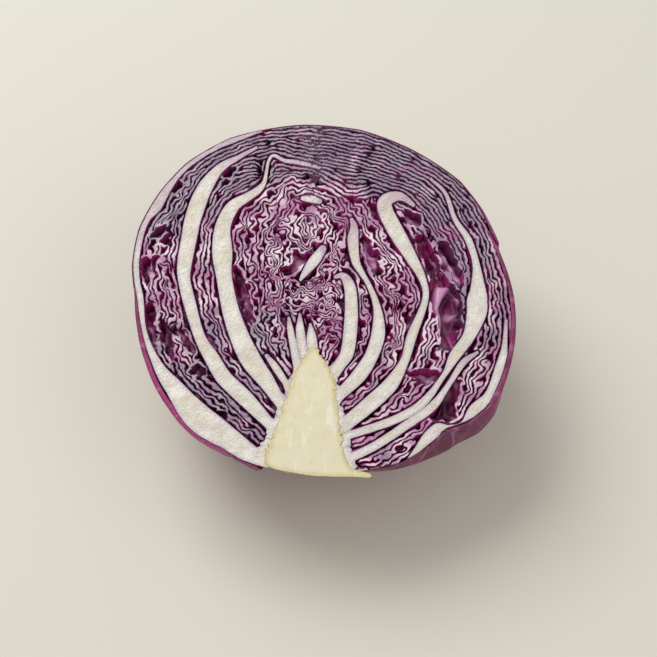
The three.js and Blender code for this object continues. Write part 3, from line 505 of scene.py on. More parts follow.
def ripple(x, seed):
    # three sines of unlike pitch, together about one high
    first, second = np.sin(x + 1.7 * seed), np.sin(1.63 * x + 2.9 * seed + 0.8)
    return 0.44 * first + 0.32 * second + 0.24 * np.sin(2.41 * x + 0.6 * seed * seed)


def crinkle(theta, phi, seed, waves=26):
    # the sum of many waves that run in random directions over the leaf
    dice = np.random.default_rng(seed)
    total = np.zeros(theta.shape)
    across, along = phi * np.sin(np.radians(theta)), theta
    for _ in range(waves):
        heading, size, phase = dice.uniform(0, math.pi), dice.uniform(5, 14), dice.uniform(0, 2 * math.pi)
        way = across * math.cos(heading) + along * math.sin(heading)
        total += np.sin(2 * math.pi * way / size + phase) * size / 10
    return total / math.sqrt(waves)


def towards(theta, phi):
    # the direction of length 1 that theta and phi give
    t, p = np.radians(theta), np.radians(phi)
    return np.stack([np.sin(t) * np.cos(p), np.cos(t), -np.sin(t) * np.sin(p)], -1)


def fromCut(phi):
    # degrees from the nearer side of the cut face
    return np.minimum(phi, 180 - phi)


def leftward(phi):
    # 0 on the cut face's right side, 1 on its left side
    return (1 - np.cos(np.radians(phi))) / 2


def aroundBack(right, left, phi):
    # one measure turns softly into the other on the way round the back
    return right * (1 - leftward(phi)) + left * leftward(phi)


def pastOverlap(theta):
    # 0 where the left outer leaf makes the rim's right side, 1 where the right one does
    return smoothStep((theta - 42) / 12)


def envelope(theta, phi):
    # along the cut it is the head's rim, and towards the back it becomes a ball
    right = interpolated(rim, theta) + wrappers["tuck"] * pastOverlap(theta)
    side = aroundBack(right, interpolated(rim, -theta), phi)
    heading = towards(theta, phi)
    offset = np.array(wrappers["backMiddle"]) - np.array(head["growingPoint"])
    along = heading[..., 0] * offset[0] + heading[..., 1] * offset[1]
    ball = along + np.sqrt(wrappers["backRadius"] ** 2 - offset @ offset + along**2)
    roundness = smoothStep(fromCut(phi) / 54) * smoothStep(theta / 40)
    return side + (ball - side) * roundness


driftX, driftY = softNoise(21, 9), softNoise(22, 9)


def rightDrop(theta, phi):
    # how far under the envelope the right outer leaf lies: it slips below the leaf beside it, and
    # swells out again near the stem, just under the cut
    nearRim = wrappers["tuck"] * pastOverlap(theta) + 1.1 * (1 - smoothStep((theta - 44) / 6))
    full = 2 * (wrappers["thickness"] + wrappers["gap"])
    overlap = interpolated(wrapperEnds["wrapperUnder"], phi) + 6 - theta
    covered = smoothStep(overlap / 14) * smoothStep(phi / 12)
    bulge = interpolated(swelling, theta) * smoothStep(phi / 9) * (1 - smoothStep((phi - 22) / 14))
    return nearRim + (full - nearRim) * np.maximum(covered, leftward(phi)) - bulge


def cutWidth(theta, phi):
    # thickness of the outer leaves' skin where they meet the cut face, measured from the growing
    # point: more where the rim runs aslant
    signed = np.where(phi > 90, -theta, theta)
    away = interpolated(rim, signed)
    slant = (interpolated(rim, signed + 4) - interpolated(rim, signed - 4)) / math.radians(8) / away
    return interpolated(skinShown, signed) * np.sqrt(1 + slant**2) + 0.06


def liningAway(theta, phi):
    # distance of the outer leaves' inner side along one direction
    right = smoothStep((theta - 44) / 6) * (phi < 90)
    width = cutWidth(theta, phi)
    width = width + (wrappers["thickness"] + 0.5 - width) * smoothStep(fromCut(phi) / 8)
    return envelope(theta, phi) - right * rightDrop(theta, phi) - width


def drifted(points):
    # the leaves are shells about the growing point: below the cut a point keeps its share of the
    # way from there to the outer leaves, and sways a little with its depth
    x, y, z = points.T
    fromX, fromY = x - growX, y - growY
    away, down = np.maximum(np.hypot(fromX, fromY), 1e-6), np.minimum(z, 0)
    side = np.where(fromX > 0, 1e-3, 180 - 1e-3)
    flat = liningAway(np.degrees(np.arccos(np.clip(fromY / away, -1, 1))), side)
    newAway = away
    for _ in range(2):
        inPlane = np.sqrt(np.maximum(newAway**2 - down**2, 0.2 * away**2))
        theta = np.degrees(np.arccos(np.clip(fromY / away * inPlane / newAway, -1, 1)))
        phi = np.degrees(np.arctan2(-down, fromX / away * inPlane))
        newAway = away * liningAway(theta, np.where(down < 0, phi, side)) / flat
    inPlane = np.sqrt(np.maximum(newAway**2 - down**2, 0.2 * away**2))
    calm = 0.11 * down * np.clip(readAt(depthInRim, x, y) / 14, 0, 1)
    newX = growX + fromX / away * inPlane + calm * readAt(driftX, x, y)
    newY = growY + fromY / away * inPlane + calm * readAt(driftY, x, y)
    return np.column_stack([newX, newY, z])


# Meshes
def makePiece(name, points, triangles, material, nodes, values):
    # points in head millimetres, triangles as rows of three, values as named numbers per point
    mesh = bpy.data.meshes.new(name)
    placed = toFrame(points)
    mesh.vertices.add(len(placed))
    mesh.vertices.foreach_set("co", placed.astype(np.float32).ravel())
    mesh.loops.add(triangles.size)
    mesh.loops.foreach_set("vertex_index", triangles.astype(np.int32).ravel())
    mesh.polygons.add(len(triangles))
    mesh.polygons.foreach_set("loop_start", np.arange(0, triangles.size, 3, dtype=np.int32))
    mesh.polygons.foreach_set("use_smooth", np.ones(len(triangles), bool))
    for label, numbers in values.items():
        attribute = mesh.attributes.new(label, "FLOAT", "POINT")
        attribute.data.foreach_set("value", numbers.astype(np.float32))
    mesh.update(calc_edges=True)
    mesh.validate()
    piece = bpy.data.objects.new(name, mesh)
    bpy.context.scene.collection.objects.link(piece)
    mesh.materials.append(material)
    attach(piece, "root")
    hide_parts(*nodes)


def numbered(triangles):
    # the points in use, and the triangles counted among these
    used, flat = np.unique(triangles, return_inverse=True)
    return used, flat.reshape(-1, 3)


def outlineOf(flat, count):
    # the edges that only one triangle has, each in that triangle's direction
    edges = np.vstack([flat[:, [0, 1]], flat[:, [1, 2]], flat[:, [2, 0]]])
    key, back = edges[:, 0] * count + edges[:, 1], edges[:, 1] * count + edges[:, 0]
    return edges[~np.isin(key, back)]


def wallBetween(upper, lower):
    # two triangles from each edge of the upper outline to the same edge of the lower one
    first = np.stack([upper[:, 0], lower[:, 0], lower[:, 1]], 1)
    return np.vstack([first, np.stack([upper[:, 0], lower[:, 1], upper[:, 1]], 1)])


def insideTriangles(depth):
    # marching squares: each grid cell gives the part of itself where depth is above 0.
    # Returns points (x, y), triangles and the cell of each triangle.
    rows, columns = depth.shape
    ids = np.arange(depth.size).reshape(depth.shape)

    def crossing(first, second, a, b):
        t = np.clip(a / np.where(a == b, 1, a - b), 0.05, 0.95)
        return first * (1 - t) + second * t

    eastX = crossing(faceX[:, :-1], faceX[:, 1:], depth[:, :-1], depth[:, 1:])
    northY = crossing(faceY[:-1], faceY[1:], depth[:-1], depth[1:])
    points = np.vstack([
        np.stack([faceX.ravel(), faceY.ravel()], 1),
        np.stack([eastX.ravel(), faceY[:, :-1].ravel()], 1),
        np.stack([faceX[:-1].ravel(), northY.ravel()], 1),
    ])
    east = depth.size + np.arange(eastX.size).reshape(eastX.shape)
    north = depth.size + eastX.size + np.arange(northY.size).reshape(northY.shape)
    c0, c1, c2, c3 = ids[:-1, :-1], ids[:-1, 1:], ids[1:, 1:], ids[1:, :-1]
    e0, e1, e2, e3 = east[:-1], north[:, 1:], east[1:], north[:, :-1]
    inside = depth > 0
    bits = [inside[:-1, :-1], inside[:-1, 1:], inside[1:, 1:], inside[1:, :-1]]
    case = sum(bit.astype(int) << k for k, bit in enumerate(bits))
    shapes = {
        1: [(c0, e0, e3)], 2: [(c1, e1, e0)], 3: [(c0, c1, e1, e3)], 4: [(c2, e2, e1)],
        5: [(c0, e0, e3), (c2, e2, e1)], 6: [(c1, c2, e2, e0)], 7: [(c0, c1, c2, e2, e3)],
        8: [(c3, e3, e2)], 9: [(c0, e0, e2, c3)], 10: [(c1, e1, e0), (c3, e3, e2)],
        11: [(c0, c1, e1, e2, c3)], 12: [(c3, e3, e1, c2)], 13: [(c0, e0, e1, c2, c3)],
        14: [(c1, c2, c3, e3, e0)], 15: [(c0, c1, c2, c3)],
    }
    cells = np.arange((rows - 1) * (columns - 1)).reshape(rows - 1, columns - 1)
    triangles, owners = [], []
    for which, polygons in shapes.items():
        here = case == which
        for polygon in polygons:
            for k in range(1, len(polygon) - 1):
                corners = (polygon[0], polygon[k], polygon[k + 1])
                triangles.append(np.stack([corner[here] for corner in corners], 1))
                owners.append(cells[here])
    return points, np.vstack(triangles), np.concatenate(owners)


def sunkSolid(points, triangles, deepest):
    # a slab: the patch at the cut face's height, its outline carried down, and the same patch
    # turned over at the bottom. The top's edge is drawn in by the bevel. Points drift with their
    # depth by the same rule everywhere, so neighbours never meet.
    used, flat = numbered(triangles)
    patch = points[used]
    count = len(used)
    outline = outlineOf(flat, count)
    outwards = np.zeros((count, 2))
    along = patch[outline[:, 1]] - patch[outline[:, 0]]
    sideways = np.stack([along[:, 1], -along[:, 0]], 1) / np.maximum(np.hypot(*along.T), 1e-9)[:, None]
    np.add.at(outwards, outline[:, 0], sideways)
    np.add.at(outwards, outline[:, 1], sideways)
    outwards /= np.maximum(np.hypot(*outwards.T), 1e-9)[:, None]
    border = np.unique(outline)
    place = np.full(count, -1)
    place[border] = np.arange(len(border))
    level = cutLevel(patch[:, 0], patch[:, 1])
    inset = patch.copy()
    inset[border] -= outwards[border] * deep["bevel"]
    z = level[border] + (deepest - level[border]) * deep["shoulder"]
    shoulder = drifted(np.column_stack([patch[border], z]))
    bottom = drifted(np.column_stack([patch, np.full(count, deepest)]))
    middle, last = count, count + len(border)  # where the shoulder's and the bottom's points start
    origin = np.concatenate([np.arange(count), border, np.arange(count)])
    chain = [outline, place[outline] + middle, outline + last]
    walls = [wallBetween(upper, lower) for upper, lower in zip(chain[:-1], chain[1:])]
    faces = np.vstack([flat, flat[:, ::-1] + last, *walls])
    return np.vstack([np.column_stack([inset, level]), shoulder, bottom]), faces, used, origin


# Shading
def fromScreen(red, green, blue):
    # a colour as seen on a screen, 0 to 255, as the light values that a shader takes
    light = [((c / 255 + 0.055) / 1.055) ** 2.4 if c > 10 else c / 255 / 12.92 for c in (red, green, blue)]
    return (*light, 1.0)


def colours(**seen):
    return {name: fromScreen(*colour) for name, colour in seen.items()}


class Wire:
    # a socket whose arithmetic adds Math nodes
    def __init__(self, finish, socket):
        self.finish, self.socket = finish, socket

    def maths(self, operation, *inputs):
        return self.finish.node("ShaderNodeMath", {"operation": operation}, dict(enumerate(inputs)))

    def __add__(self, other):
        return self.maths("ADD", self, other)

    def __radd__(self, other):
        return self.maths("ADD", other, self)

    def __sub__(self, other):
        return self.maths("SUBTRACT", self, other)

    def __rsub__(self, other):
        return self.maths("SUBTRACT", other, self)

    def __mul__(self, other):
        return self.maths("MULTIPLY", self, other)

    def __rmul__(self, other):
        return self.maths("MULTIPLY", other, self)

    def __truediv__(self, other):
        return self.maths("DIVIDE", self, other)

    def __rtruediv__(self, other):
        return self.maths("DIVIDE", other, self)

    def ramp(self, low, high):
        # 0 at low, 1 at high, smooth between
        inputs = {"Value": self, "From Min": low, "From Max": high}
        return self.finish.node("ShaderNodeMapRange", {"interpolation_type": "SMOOTHSTEP"}, inputs)


class Finish:
    # one material: its nodes are added through node()
    def __init__(self, name):
        self.material = bpy.data.materials.new(name)
        self.material.use_nodes = True
        self.tree = self.material.node_tree
        self.tree.nodes.clear()

    def node(self, kind, settings, inputs, output=0):
        made = self.tree.nodes.new(kind)
        for key, value in settings.items():
            setattr(made, key, value)
        for key, value in inputs.items():
            socket = made.inputs[key]
            if isinstance(value, Wire):
                self.tree.links.new(value.socket, socket)
            else:
                socket.default_value = value
        return Wire(self, made.outputs[output]) if made.outputs else None

    def value(self, name):
        return self.node("ShaderNodeAttribute", {"attribute_name": name}, {}, "Fac")

    def place(self, stretch=(1, 1, 1)):
        spot = self.node("ShaderNodeTexCoord", {}, {}, "Object")
        return self.node("ShaderNodeMapping", {}, {"Vector": spot, "Scale": stretch})

    def noise(self, scale, detail=3.0, rough=0.55, where=None, twist=0.0):
        inputs = {"Vector": where or self.place(), "Scale": scale, "Detail": detail}
        inputs.update({"Roughness": rough, "Distortion": twist})
        return self.node("ShaderNodeTexNoise", {}, inputs, "Fac")

    def cells(self, scale, feature="F1", where=None):
        inputs = {"Vector": where or self.place(), "Scale": scale}
        return self.node("ShaderNodeTexVoronoi", {"feature": feature}, inputs, "Distance")

    def mix(self, share, first, second):
        # 0, 6 and 7 are the factor and the two colours of a Mix node, and 2 is its colour out
        return self.node("ShaderNodeMix", {"data_type": "RGBA"}, {0: share, 6: first, 7: second}, 2)

    def close(self, colour, roughness, bump=None, **fixed):
        # bump is (height, strength, distance in metres); fixed inputs have _ for the space in a name
        inputs = {"Base Color": colour, "Roughness": roughness}
        if bump:
            heights = dict(zip(("Height", "Strength", "Distance"), bump))
            inputs["Normal"] = self.node("ShaderNodeBump", {}, heights)
        inputs.update({key.replace("_", " "): value for key, value in fixed.items()})
        shader = self.node("ShaderNodeBsdfPrincipled", {}, inputs, "BSDF")
        self.node("ShaderNodeOutputMaterial", {}, {"Surface": shader})
        return self.material


cutColours = colours(
    skinDark=(60, 14, 47), skinBright=(122, 30, 92), skinDeep=(170, 38, 122), skinDull=(56, 31, 55),
    skinDullDeep=(94, 47, 88), bladeGrey=(146, 125, 149), bladePale=(236, 215, 227),
    bladeRose=(180, 122, 163), rib=(243, 239, 229), ribShade=(226, 216, 204), ribStain=(206, 178, 122),
    ribTan=(228, 216, 184), ribBlue=(190, 178, 206),
)


def cutSkin(finish):
    blotches = finish.noise(120, 2).ramp(0.42, 0.7)
    return finish.mix(blotches, cutColours["skinDark"], cutColours["skinBright"])


def bladeFinish():
    # pale cut flesh with a dark skin line at each edge, and glossy purple skin down the sides
    finish = Finish("cutBlade")
    edge, top, tone = finish.value("edge"), finish.value("top"), finish.value("tone")
    fine = finish.noise(900, 4, 0.6)
    broad = finish.noise(95, 2)
    flesh = finish.mix(broad.ramp(0.34, 0.62), cutColours["bladePale"], cutColours["bladeRose"])
    flesh = finish.mix(tone.ramp(0.1, 0.9) * 0.85, flesh, cutColours["bladeGrey"])
    flesh = finish.mix(fine.ramp(0.62, 0.78) * 0.5, flesh, cutColours["rib"])
    skin = cutSkin(finish)
    skin = finish.mix(tone.ramp(0.2, 0.9) * 0.9, skin, cutColours["skinDull"])
    line = (edge + (fine - 0.5) * 0.2).ramp(0.12, 0.42)
    colour = finish.mix(line, skin, flesh)
    side = finish.mix(tone.ramp(0.2, 0.9) * 0.9, cutColours["skinDeep"], cutColours["skinDullDeep"])
    colour = finish.mix(top, side, colour)
    roughness = 0.3 + 0.25 * finish.noise(1500, 3)
    bump = (fine + finish.noise(350, 2), 0.7, 0.0003)
    return finish.close(colour, roughness, bump, Coat_Weight=0.25, Coat_Roughness=0.25)


def ribFinish():
    # cream flesh, granular and wet, with tan and brown stains, bluish towards a dark skin line at
    # its edges
    finish = Finish("cutRib")
    edge, top, pale = finish.value("edge"), finish.value("top"), finish.value("pale")
    fine = finish.noise(1100, 5, 0.7)
    broad = finish.noise(140, 3)
    flesh = finish.mix(broad.ramp(0.35, 0.7), cutColours["rib"], cutColours["ribShade"])
    flesh = finish.mix(finish.noise(60, 3).ramp(0.48, 0.66) * 0.4, flesh, cutColours["ribTan"])
    stain = finish.noise(260, 3, 0.6, twist=0.6).ramp(0.6, 0.74) * 0.6
    flesh = finish.mix(stain, flesh, cutColours["ribStain"])
    flesh = finish.mix((1 - pale) * 0.6, flesh, cutColours["bladeRose"])
    flesh = finish.mix(fine.ramp(0.58, 0.76) * 0.5, flesh, cutColours["bladeGrey"])
    byEdge = 1 - (edge + (broad - 0.5) * 3.0).ramp(0.2, 1.7)
    flesh = finish.mix(byEdge * 0.55, flesh, cutColours["ribBlue"])
    skin = cutSkin(finish)
    line = (edge + (fine - 0.5) * 0.3).ramp(0.08, 0.34)
    colour = finish.mix(line, skin, flesh)
    colour = finish.mix(top, cutColours["skinDeep"], colour)
    bump = (fine + 0.8 * finish.cells(1300), 0.8, 0.0005)
    return finish.close(
        colour, 0.32 + 0.3 * fine, bump, Coat_Weight=0.3, Coat_Roughness=0.22,
        Subsurface_Weight=0.08, Subsurface_Radius=(0.004, 0.003, 0.002), Subsurface_Scale=0.5,
    )


coreColours = colours(
    flesh=(231, 223, 188), paler=(232, 226, 198), streak=(244, 240, 222), fibre=(214, 202, 156),
    edge=(214, 194, 130), stain=(196, 156, 78), under=(196, 176, 146), underPurple=(150, 92, 110),
)


def coreFinish():
    # firm yellow flesh, deeper yellow round its edge, with white streaks up it that are painted highlight
    # along its fibres, and darker fibres up it
    finish = Finish("cutCore")
    edge, top = finish.value("edge"), finish.value("top")
    streaks = finish.noise(60, 4, 0.6, finish.place((6, 1.2, 1.2)), 0.8)
    fibres = finish.noise(80, 3, 0.6, finish.place((8, 0.9, 1.2)), 1.6)
    fine = finish.noise(1000, 4, 0.6)
    flesh = finish.mix(finish.noise(90, 3).ramp(0.35, 0.7), coreColours["flesh"], coreColours["paler"])
    # painted highlight: near-white streaks laid along the fibres as if light caught them
    flesh = finish.mix(streaks.ramp(0.56, 0.66) * 0.7, flesh, coreColours["streak"])
    flesh = finish.mix(fibres.ramp(0.62, 0.7) * 0.6, flesh, coreColours["fibre"])
    ring = (1 - (edge + (streaks - 0.5) * 2.6).ramp(0.0, 2.2)) * top
    flesh = finish.mix(ring * 0.75, flesh, coreColours["edge"])
    stain = finish.noise(230, 4, 0.65).ramp(0.66, 0.76) * 0.5 * (0.25 + ring)
    flesh = finish.mix(stain, flesh, coreColours["stain"])
    blotches = finish.noise(70, 3).ramp(0.4, 0.6)
    under = finish.mix(blotches, coreColours["under"], coreColours["underPurple"])
    colour = finish.mix(top, under, flesh)
    bump = (0.5 * streaks + 0.6 * fibres + 0.3 * fine, 0.2, 0.0003)
    return finish.close(
        colour, 0.38 + 0.2 * fine, bump, Coat_Weight=0.3, Coat_Roughness=0.25,
        Subsurface_Weight=0.1, Subsurface_Radius=(0.005, 0.004, 0.002), Subsurface_Scale=0.6,
    )


# the crest colour is a painted highlight on the tops of the folds
bedColours = colours(valley=(92, 14, 62), slope=(168, 38, 124), crest=(220, 158, 206), vein=(206, 150, 190))


def bedFinish():
    # the leaf faces seen down in the gaps: glossy purple, with a painted highlight of pale lavender on
    # their crests, and faint veins
    finish = Finish("innerSkin")
    folds = finish.value("crestHighlight")
    veins = finish.cells(160, "DISTANCE_TO_EDGE", finish.place((1, 0.6, 1)))
    tone = finish.value("tone")
    skin = finish.mix(finish.noise(110, 3).ramp(0.4, 0.65), bedColours["valley"], bedColours["slope"])
    # painted highlight: the higher a fold's crest, the more pale lavender it takes, as if lit
    skin = finish.mix(folds.ramp(0.4, 1.0) * 0.85, skin, bedColours["crest"])
    skin = finish.mix((1 - veins.ramp(0.0, 0.12)) * 0.2, skin, bedColours["vein"])
    skin = finish.mix(tone.ramp(0.5, 1.0) * 0.7, skin, cutColours["skinDullDeep"])
    roughness = 0.3 + 0.2 * finish.noise(600, 2)
    return finish.close(skin, roughness, (veins, 0.3, 0.0006), Coat_Weight=0.4, Coat_Roughness=0.2)


cutBlade, cutRib, cutCore, innerSkin = bladeFinish(), ribFinish(), coreFinish(), bedFinish()

# Cut ribs and blades as pieces
deep = {
    "blades": -10.0, "ribs": -11.0,  # height that a blade or rib reaches down to, mm
    "shoulder": 0.02,  # share of the way down where its side begins to follow the leaf's lie
    "bevel": 0.07,  # mm that the top's edge is drawn in
}
unevenness = 0.16 * softNoise(31, 5) + 0.05 * softNoise(32, 1.2)


def cutLevel(x, y):
    # height of the cut face, which a knife leaves a little uneven
    return readAt(unevenness, x, y)


def columnOf(*points):
    # the x of a line that runs up the face, as a function of y
    line = np.array(points, float)
    return np.interp(faceY, line[:, 1], line[:, 0])


zoneLines = [  # the zones of blades part along these lines up the face, from left to right
    columnOf((-23, -55), (-42, -35), (-53, -15), (-61, 11), (-58, 34), (-52, 52), (-37, 68), (-20, 80)),
    columnOf((-18, -46), (-31, -26), (-40, -4), (-44, 22), (-40, 43), (-26, 55), (-25, 66), (-20, 80)),
    columnOf((-4, -75), (3, -34), (9, -22), (11, 0), (11, 13), (13, 20), (12, 30), (12, 60), (12, 80)),
    columnOf((6, -42), (19, -25), (22.5, -10), (18, 8), (13, 19), (12, 30), (12, 60), (12, 80)),
    columnOf((8, -55), (27, -37), (36, -16), (42, 3), (37, 20), (26, 42), (24, 60), (24, 80)),
    columnOf((9, -60), (40, -46), (54, -25), (64, -4), (64, 20), (52, 48), (45, 62), (40, 80)),
]
zone = sum((faceX > line).astype(int) for line in zoneLines)
topEdge = [(-70, 60), (-58, 66), (-30, 64), (0, 55), (30, 55), (46, 42), (60, 24), (70, 0)]
zone = np.where((faceY > interpolated(topEdge, faceX)) & (anyRib < 0), 7, zone)
zoneNames = {
    0: ("outerLeftFolds", ["leaf_left_1"]), 1: ("leftFolds", ["leaf_left_2"]),
    2: ("heartFolds", [f"heart_leaf_{k}" for k in range(1, 6)] + ["heart_bud"]),
    3: ("innerRightFolds", ["leaf_right_4"]), 4: ("rightFolds", ["leaf_right_3"]),
    5: ("outerRightFolds", ["leaf_right_2"]), 6: ("rimFolds", ["leaf_right_1"]),
    7: ("topLayers", [f"leaf_back_{k}" for k in range(1, 5)]),
}
ribNodes = {
    "wrapperLeftRib": "wrapper_left", "wrapperRightRib": "wrapper_right",
    "leafLeft1Rib": "leaf_left_1", "leafLeft2Rib": "leaf_left_2",
    "leafRight1Rib": "leaf_right_1", "leafRight2Rib": "leaf_right_2",
    "leafRight3Rib": "leaf_right_3", "leafRight4Rib": "leaf_right_4",
    "youngLeaf1": "young_leaf_1", "youngLeaf2": "young_leaf_2",
    "youngLeaf3": "young_leaf_3", "youngLeaf4": "young_leaf_4",
    "heartRib1": "heart_leaf_5", "heartRib2": "heart_leaf_3", "heartBud": "heart_bud",
}


def cutPieces():
    # the face is cut into triangles once, and each rib and each zone of blades takes its own
    points, triangles, owner = insideTriangles(faceDepth)
    bestRib = np.argmax([depth[:-1, :-1].ravel() for depth in ribDepth.values()], 0)
    onRib = (ribbed > bladeDepth)[:-1, :-1].ravel()
    cellZone = np.where(onRib, 100 + bestRib, zone[:-1, :-1].ravel())  # from 100 on it is a rib
    ownerZone = cellZone[owner]
    # the blades turn greyer towards the top, low on the left, and right of the heart
    lowLeft = smoothStep((-10 - faceX) / 16) * smoothStep((4 - faceY) / 20)
    midRight = smoothStep((faceX - 16) / 10) * smoothStep((30 - faceX) / 10) * smoothStep((12 - faceY) / 16)
    tone = np.clip(0.1 + 0.8 * topShare + 0.6 * lowLeft + 0.4 * midRight + 0.2 * softNoise(41, 6), 0, 1)
    # the ribs have no skin line where they join the core
    nearCore = (depthInCore > -2.5) & (anyRib > 0)
    edgeDepth = np.where(nearCore, np.minimum(anyRib, depthInFlesh + 1), faceDepth)
    ribZones = {100 + k: (name, [ribNodes[name]]) for k, name in enumerate(ribDepth)}
    for code, (name, nodes) in {**zoneNames, **ribZones}.items():
        isRib = code in ribZones
        deepest = deep["ribs"] if isRib else deep["blades"]
        solid, faces, used, origin = sunkSolid(points, triangles[ownerZone == code], deepest)
        onTop = np.arange(len(solid)) < len(used)
        x, y = points[used].T
        edge = np.maximum(readAt(edgeDepth, x, y), 0)[origin]
        values = {"edge": np.where(onTop, edge, 0), "top": onTop * 1.0, "tone": readAt(tone, x, y)[origin]}
        if isRib:
            way = readAt(ribWay[name], x, y)
            length = rosyRim["length"] if name == "wrapperLeftRib" else way.max()
            values["pale"] = (1 - smoothStep((way / length - 0.8) / 0.2))[origin]
        makePiece(name, solid, faces, cutRib if isRib else cutBlade, nodes, values)
        print(name, len(faces), "triangles")


cutPieces()


# The crumpled leaf faces under the gaps
bed = {
    "depth": -5.5, "foldHeight": 1.2, "foldSize": 2.6,  # mm, between the blades
    "hollowDepth": -9.5, "crestHeight": 6.5, "crestSize": 4.6,  # mm, under the openings
    "crestStretch": 0.5,  # a crest is drawn out along y to one over this
    "fromRim": 3.2, "underRib": 0.8,  # mm in from the head's rim, and in under ribs and core
    "thickness": 1.0, "step": 0.7,  # mm
}


def bedPiece():
    # z = depth + folds between the blades; under each opening z = hollowDepth + crests
    folds = softNoise(51, bed["foldSize"])
    hollow = blurred(smoothStep((inHollow + 0.5) / 3.0), 1.2)
    crest = readAt(softNoise(52, bed["crestSize"]), faceX, faceY * bed["crestStretch"])
    crest = smoothStep(0.4 + 0.55 * crest)
    shallow = bed["depth"] + bed["foldHeight"] * folds
    sunk = bed["hollowDepth"] + bed["crestHeight"] * crest
    depth = blurred(shallow + (sunk - shallow) * hollow, 0.7)
    every = slice(None, None, max(1, round(bed["step"] / step)))
    between = np.maximum(anyRib, depthInCore) < bed["underRib"]
    keep = (between & (depthInRim > bed["fromRim"]))[every, every]
    x, y, z = faceX[every, every], faceY[every, every], depth[every, every]
    ids = np.arange(x.size).reshape(x.shape)
    whole = keep[:-1, :-1] & keep[:-1, 1:] & keep[1:, 1:] & keep[1:, :-1]
    a, b, c, d = ids[:-1, :-1][whole], ids[:-1, 1:][whole], ids[1:, 1:][whole], ids[1:, :-1][whole]
    triangles = np.vstack([np.stack([a, b, c], 1), np.stack([a, c, d], 1)])
    used, flat = numbered(triangles)
    x, y, z = x.ravel()[used], y.ravel()[used], z.ravel()[used]
    count = len(used)
    top = drifted(np.column_stack([x, y, z]))
    under = drifted(np.column_stack([x, y, z - bed["thickness"]]))
    lone = outlineOf(flat, count)
    faces = np.vstack([flat, flat[:, ::-1] + count, wallBetween(lone, lone + count)])
    values = {"crestHighlight": np.tile(readAt(crest, x, y), 2), "tone": np.tile(readAt(topShare, x, y), 2)}
    nodes = [f"leaf_back_{k}" for k in range(1, 5)]
    makePiece("innerLeafFaces", np.vstack([top, under]), faces, innerSkin, nodes, values)


bedPiece()
print("inner leaf faces laid")

# The stem core
stemCore = {
    "baseSlant": 18.0,  # degrees by which the trimmed base slants in under the head
    "baseBelow": 31.0,  # mm from the growing point down to the trimmed base
    "baseStart": -70.0,  # mm: the lowest y whose own width the back takes
    "edgeDepth": 1.0,  # mm of upright side under the cut
    "backEnd": 11.0,  # mm: the stub of flesh to the right of this x stays thin
    "slices": (0.02, 0.35, 0.7, 1.0),  # where the side has points, shares of the way to the back
}


def corePiece():
    # the cut face is nearly flat; its back is half a round body, each height y having its own half
    # width, and the trimmed base slants in under the head
    points, triangles, _ = insideTriangles(depthInCore)
    used, flat = numbered(triangles)
    x, y = points[used].T
    inside = depthInCore > 0
    rows = np.where(inside.any(1) & (gridY > stemCore["baseStart"]))[0]
    left = np.array([faceX[row][inside[row]].min() for row in rows])
    right = np.minimum([faceX[row][inside[row]].max() for row in rows], stemCore["backEnd"])
    middle = np.interp(y, gridY[rows], (left + right) / 2)
    half = np.interp(y, gridY[rows], (right - left) / 2) + 0.3
    z = -stemCore["edgeDepth"] - np.sqrt(np.maximum(half**2 - (x - middle) ** 2, 0))
    slant = math.tan(math.radians(stemCore["baseSlant"])) * smoothStep((growY - y) / stemCore["baseBelow"])
    under = np.column_stack([x, y - z * slant, z])
    count = len(used)
    lone = outlineOf(flat, count)
    layers, faces = [np.column_stack([x, y, 0.3 * cutLevel(x, y) + 0.2])], [flat]
    for k, share in enumerate(stemCore["slices"]):
        layers.append(layers[0] + (under - layers[0]) * share)
        faces.append(wallBetween(lone + k * count, lone + (k + 1) * count))
    faces.append(flat[:, ::-1] + len(stemCore["slices"]) * count)
    kept, faces = numbered(np.vstack(faces))
    solid = np.vstack(layers)
    depth = np.zeros(len(solid))
    depth[:count] = np.maximum(readAt(depthInCore, x, y), 0)
    values = {"edge": depth[kept], "top": (kept < count) * 1.0}
    makePiece("stemCore", solid[kept], faces, cutCore, ["core"], values)


corePiece()
print("stem core cut")


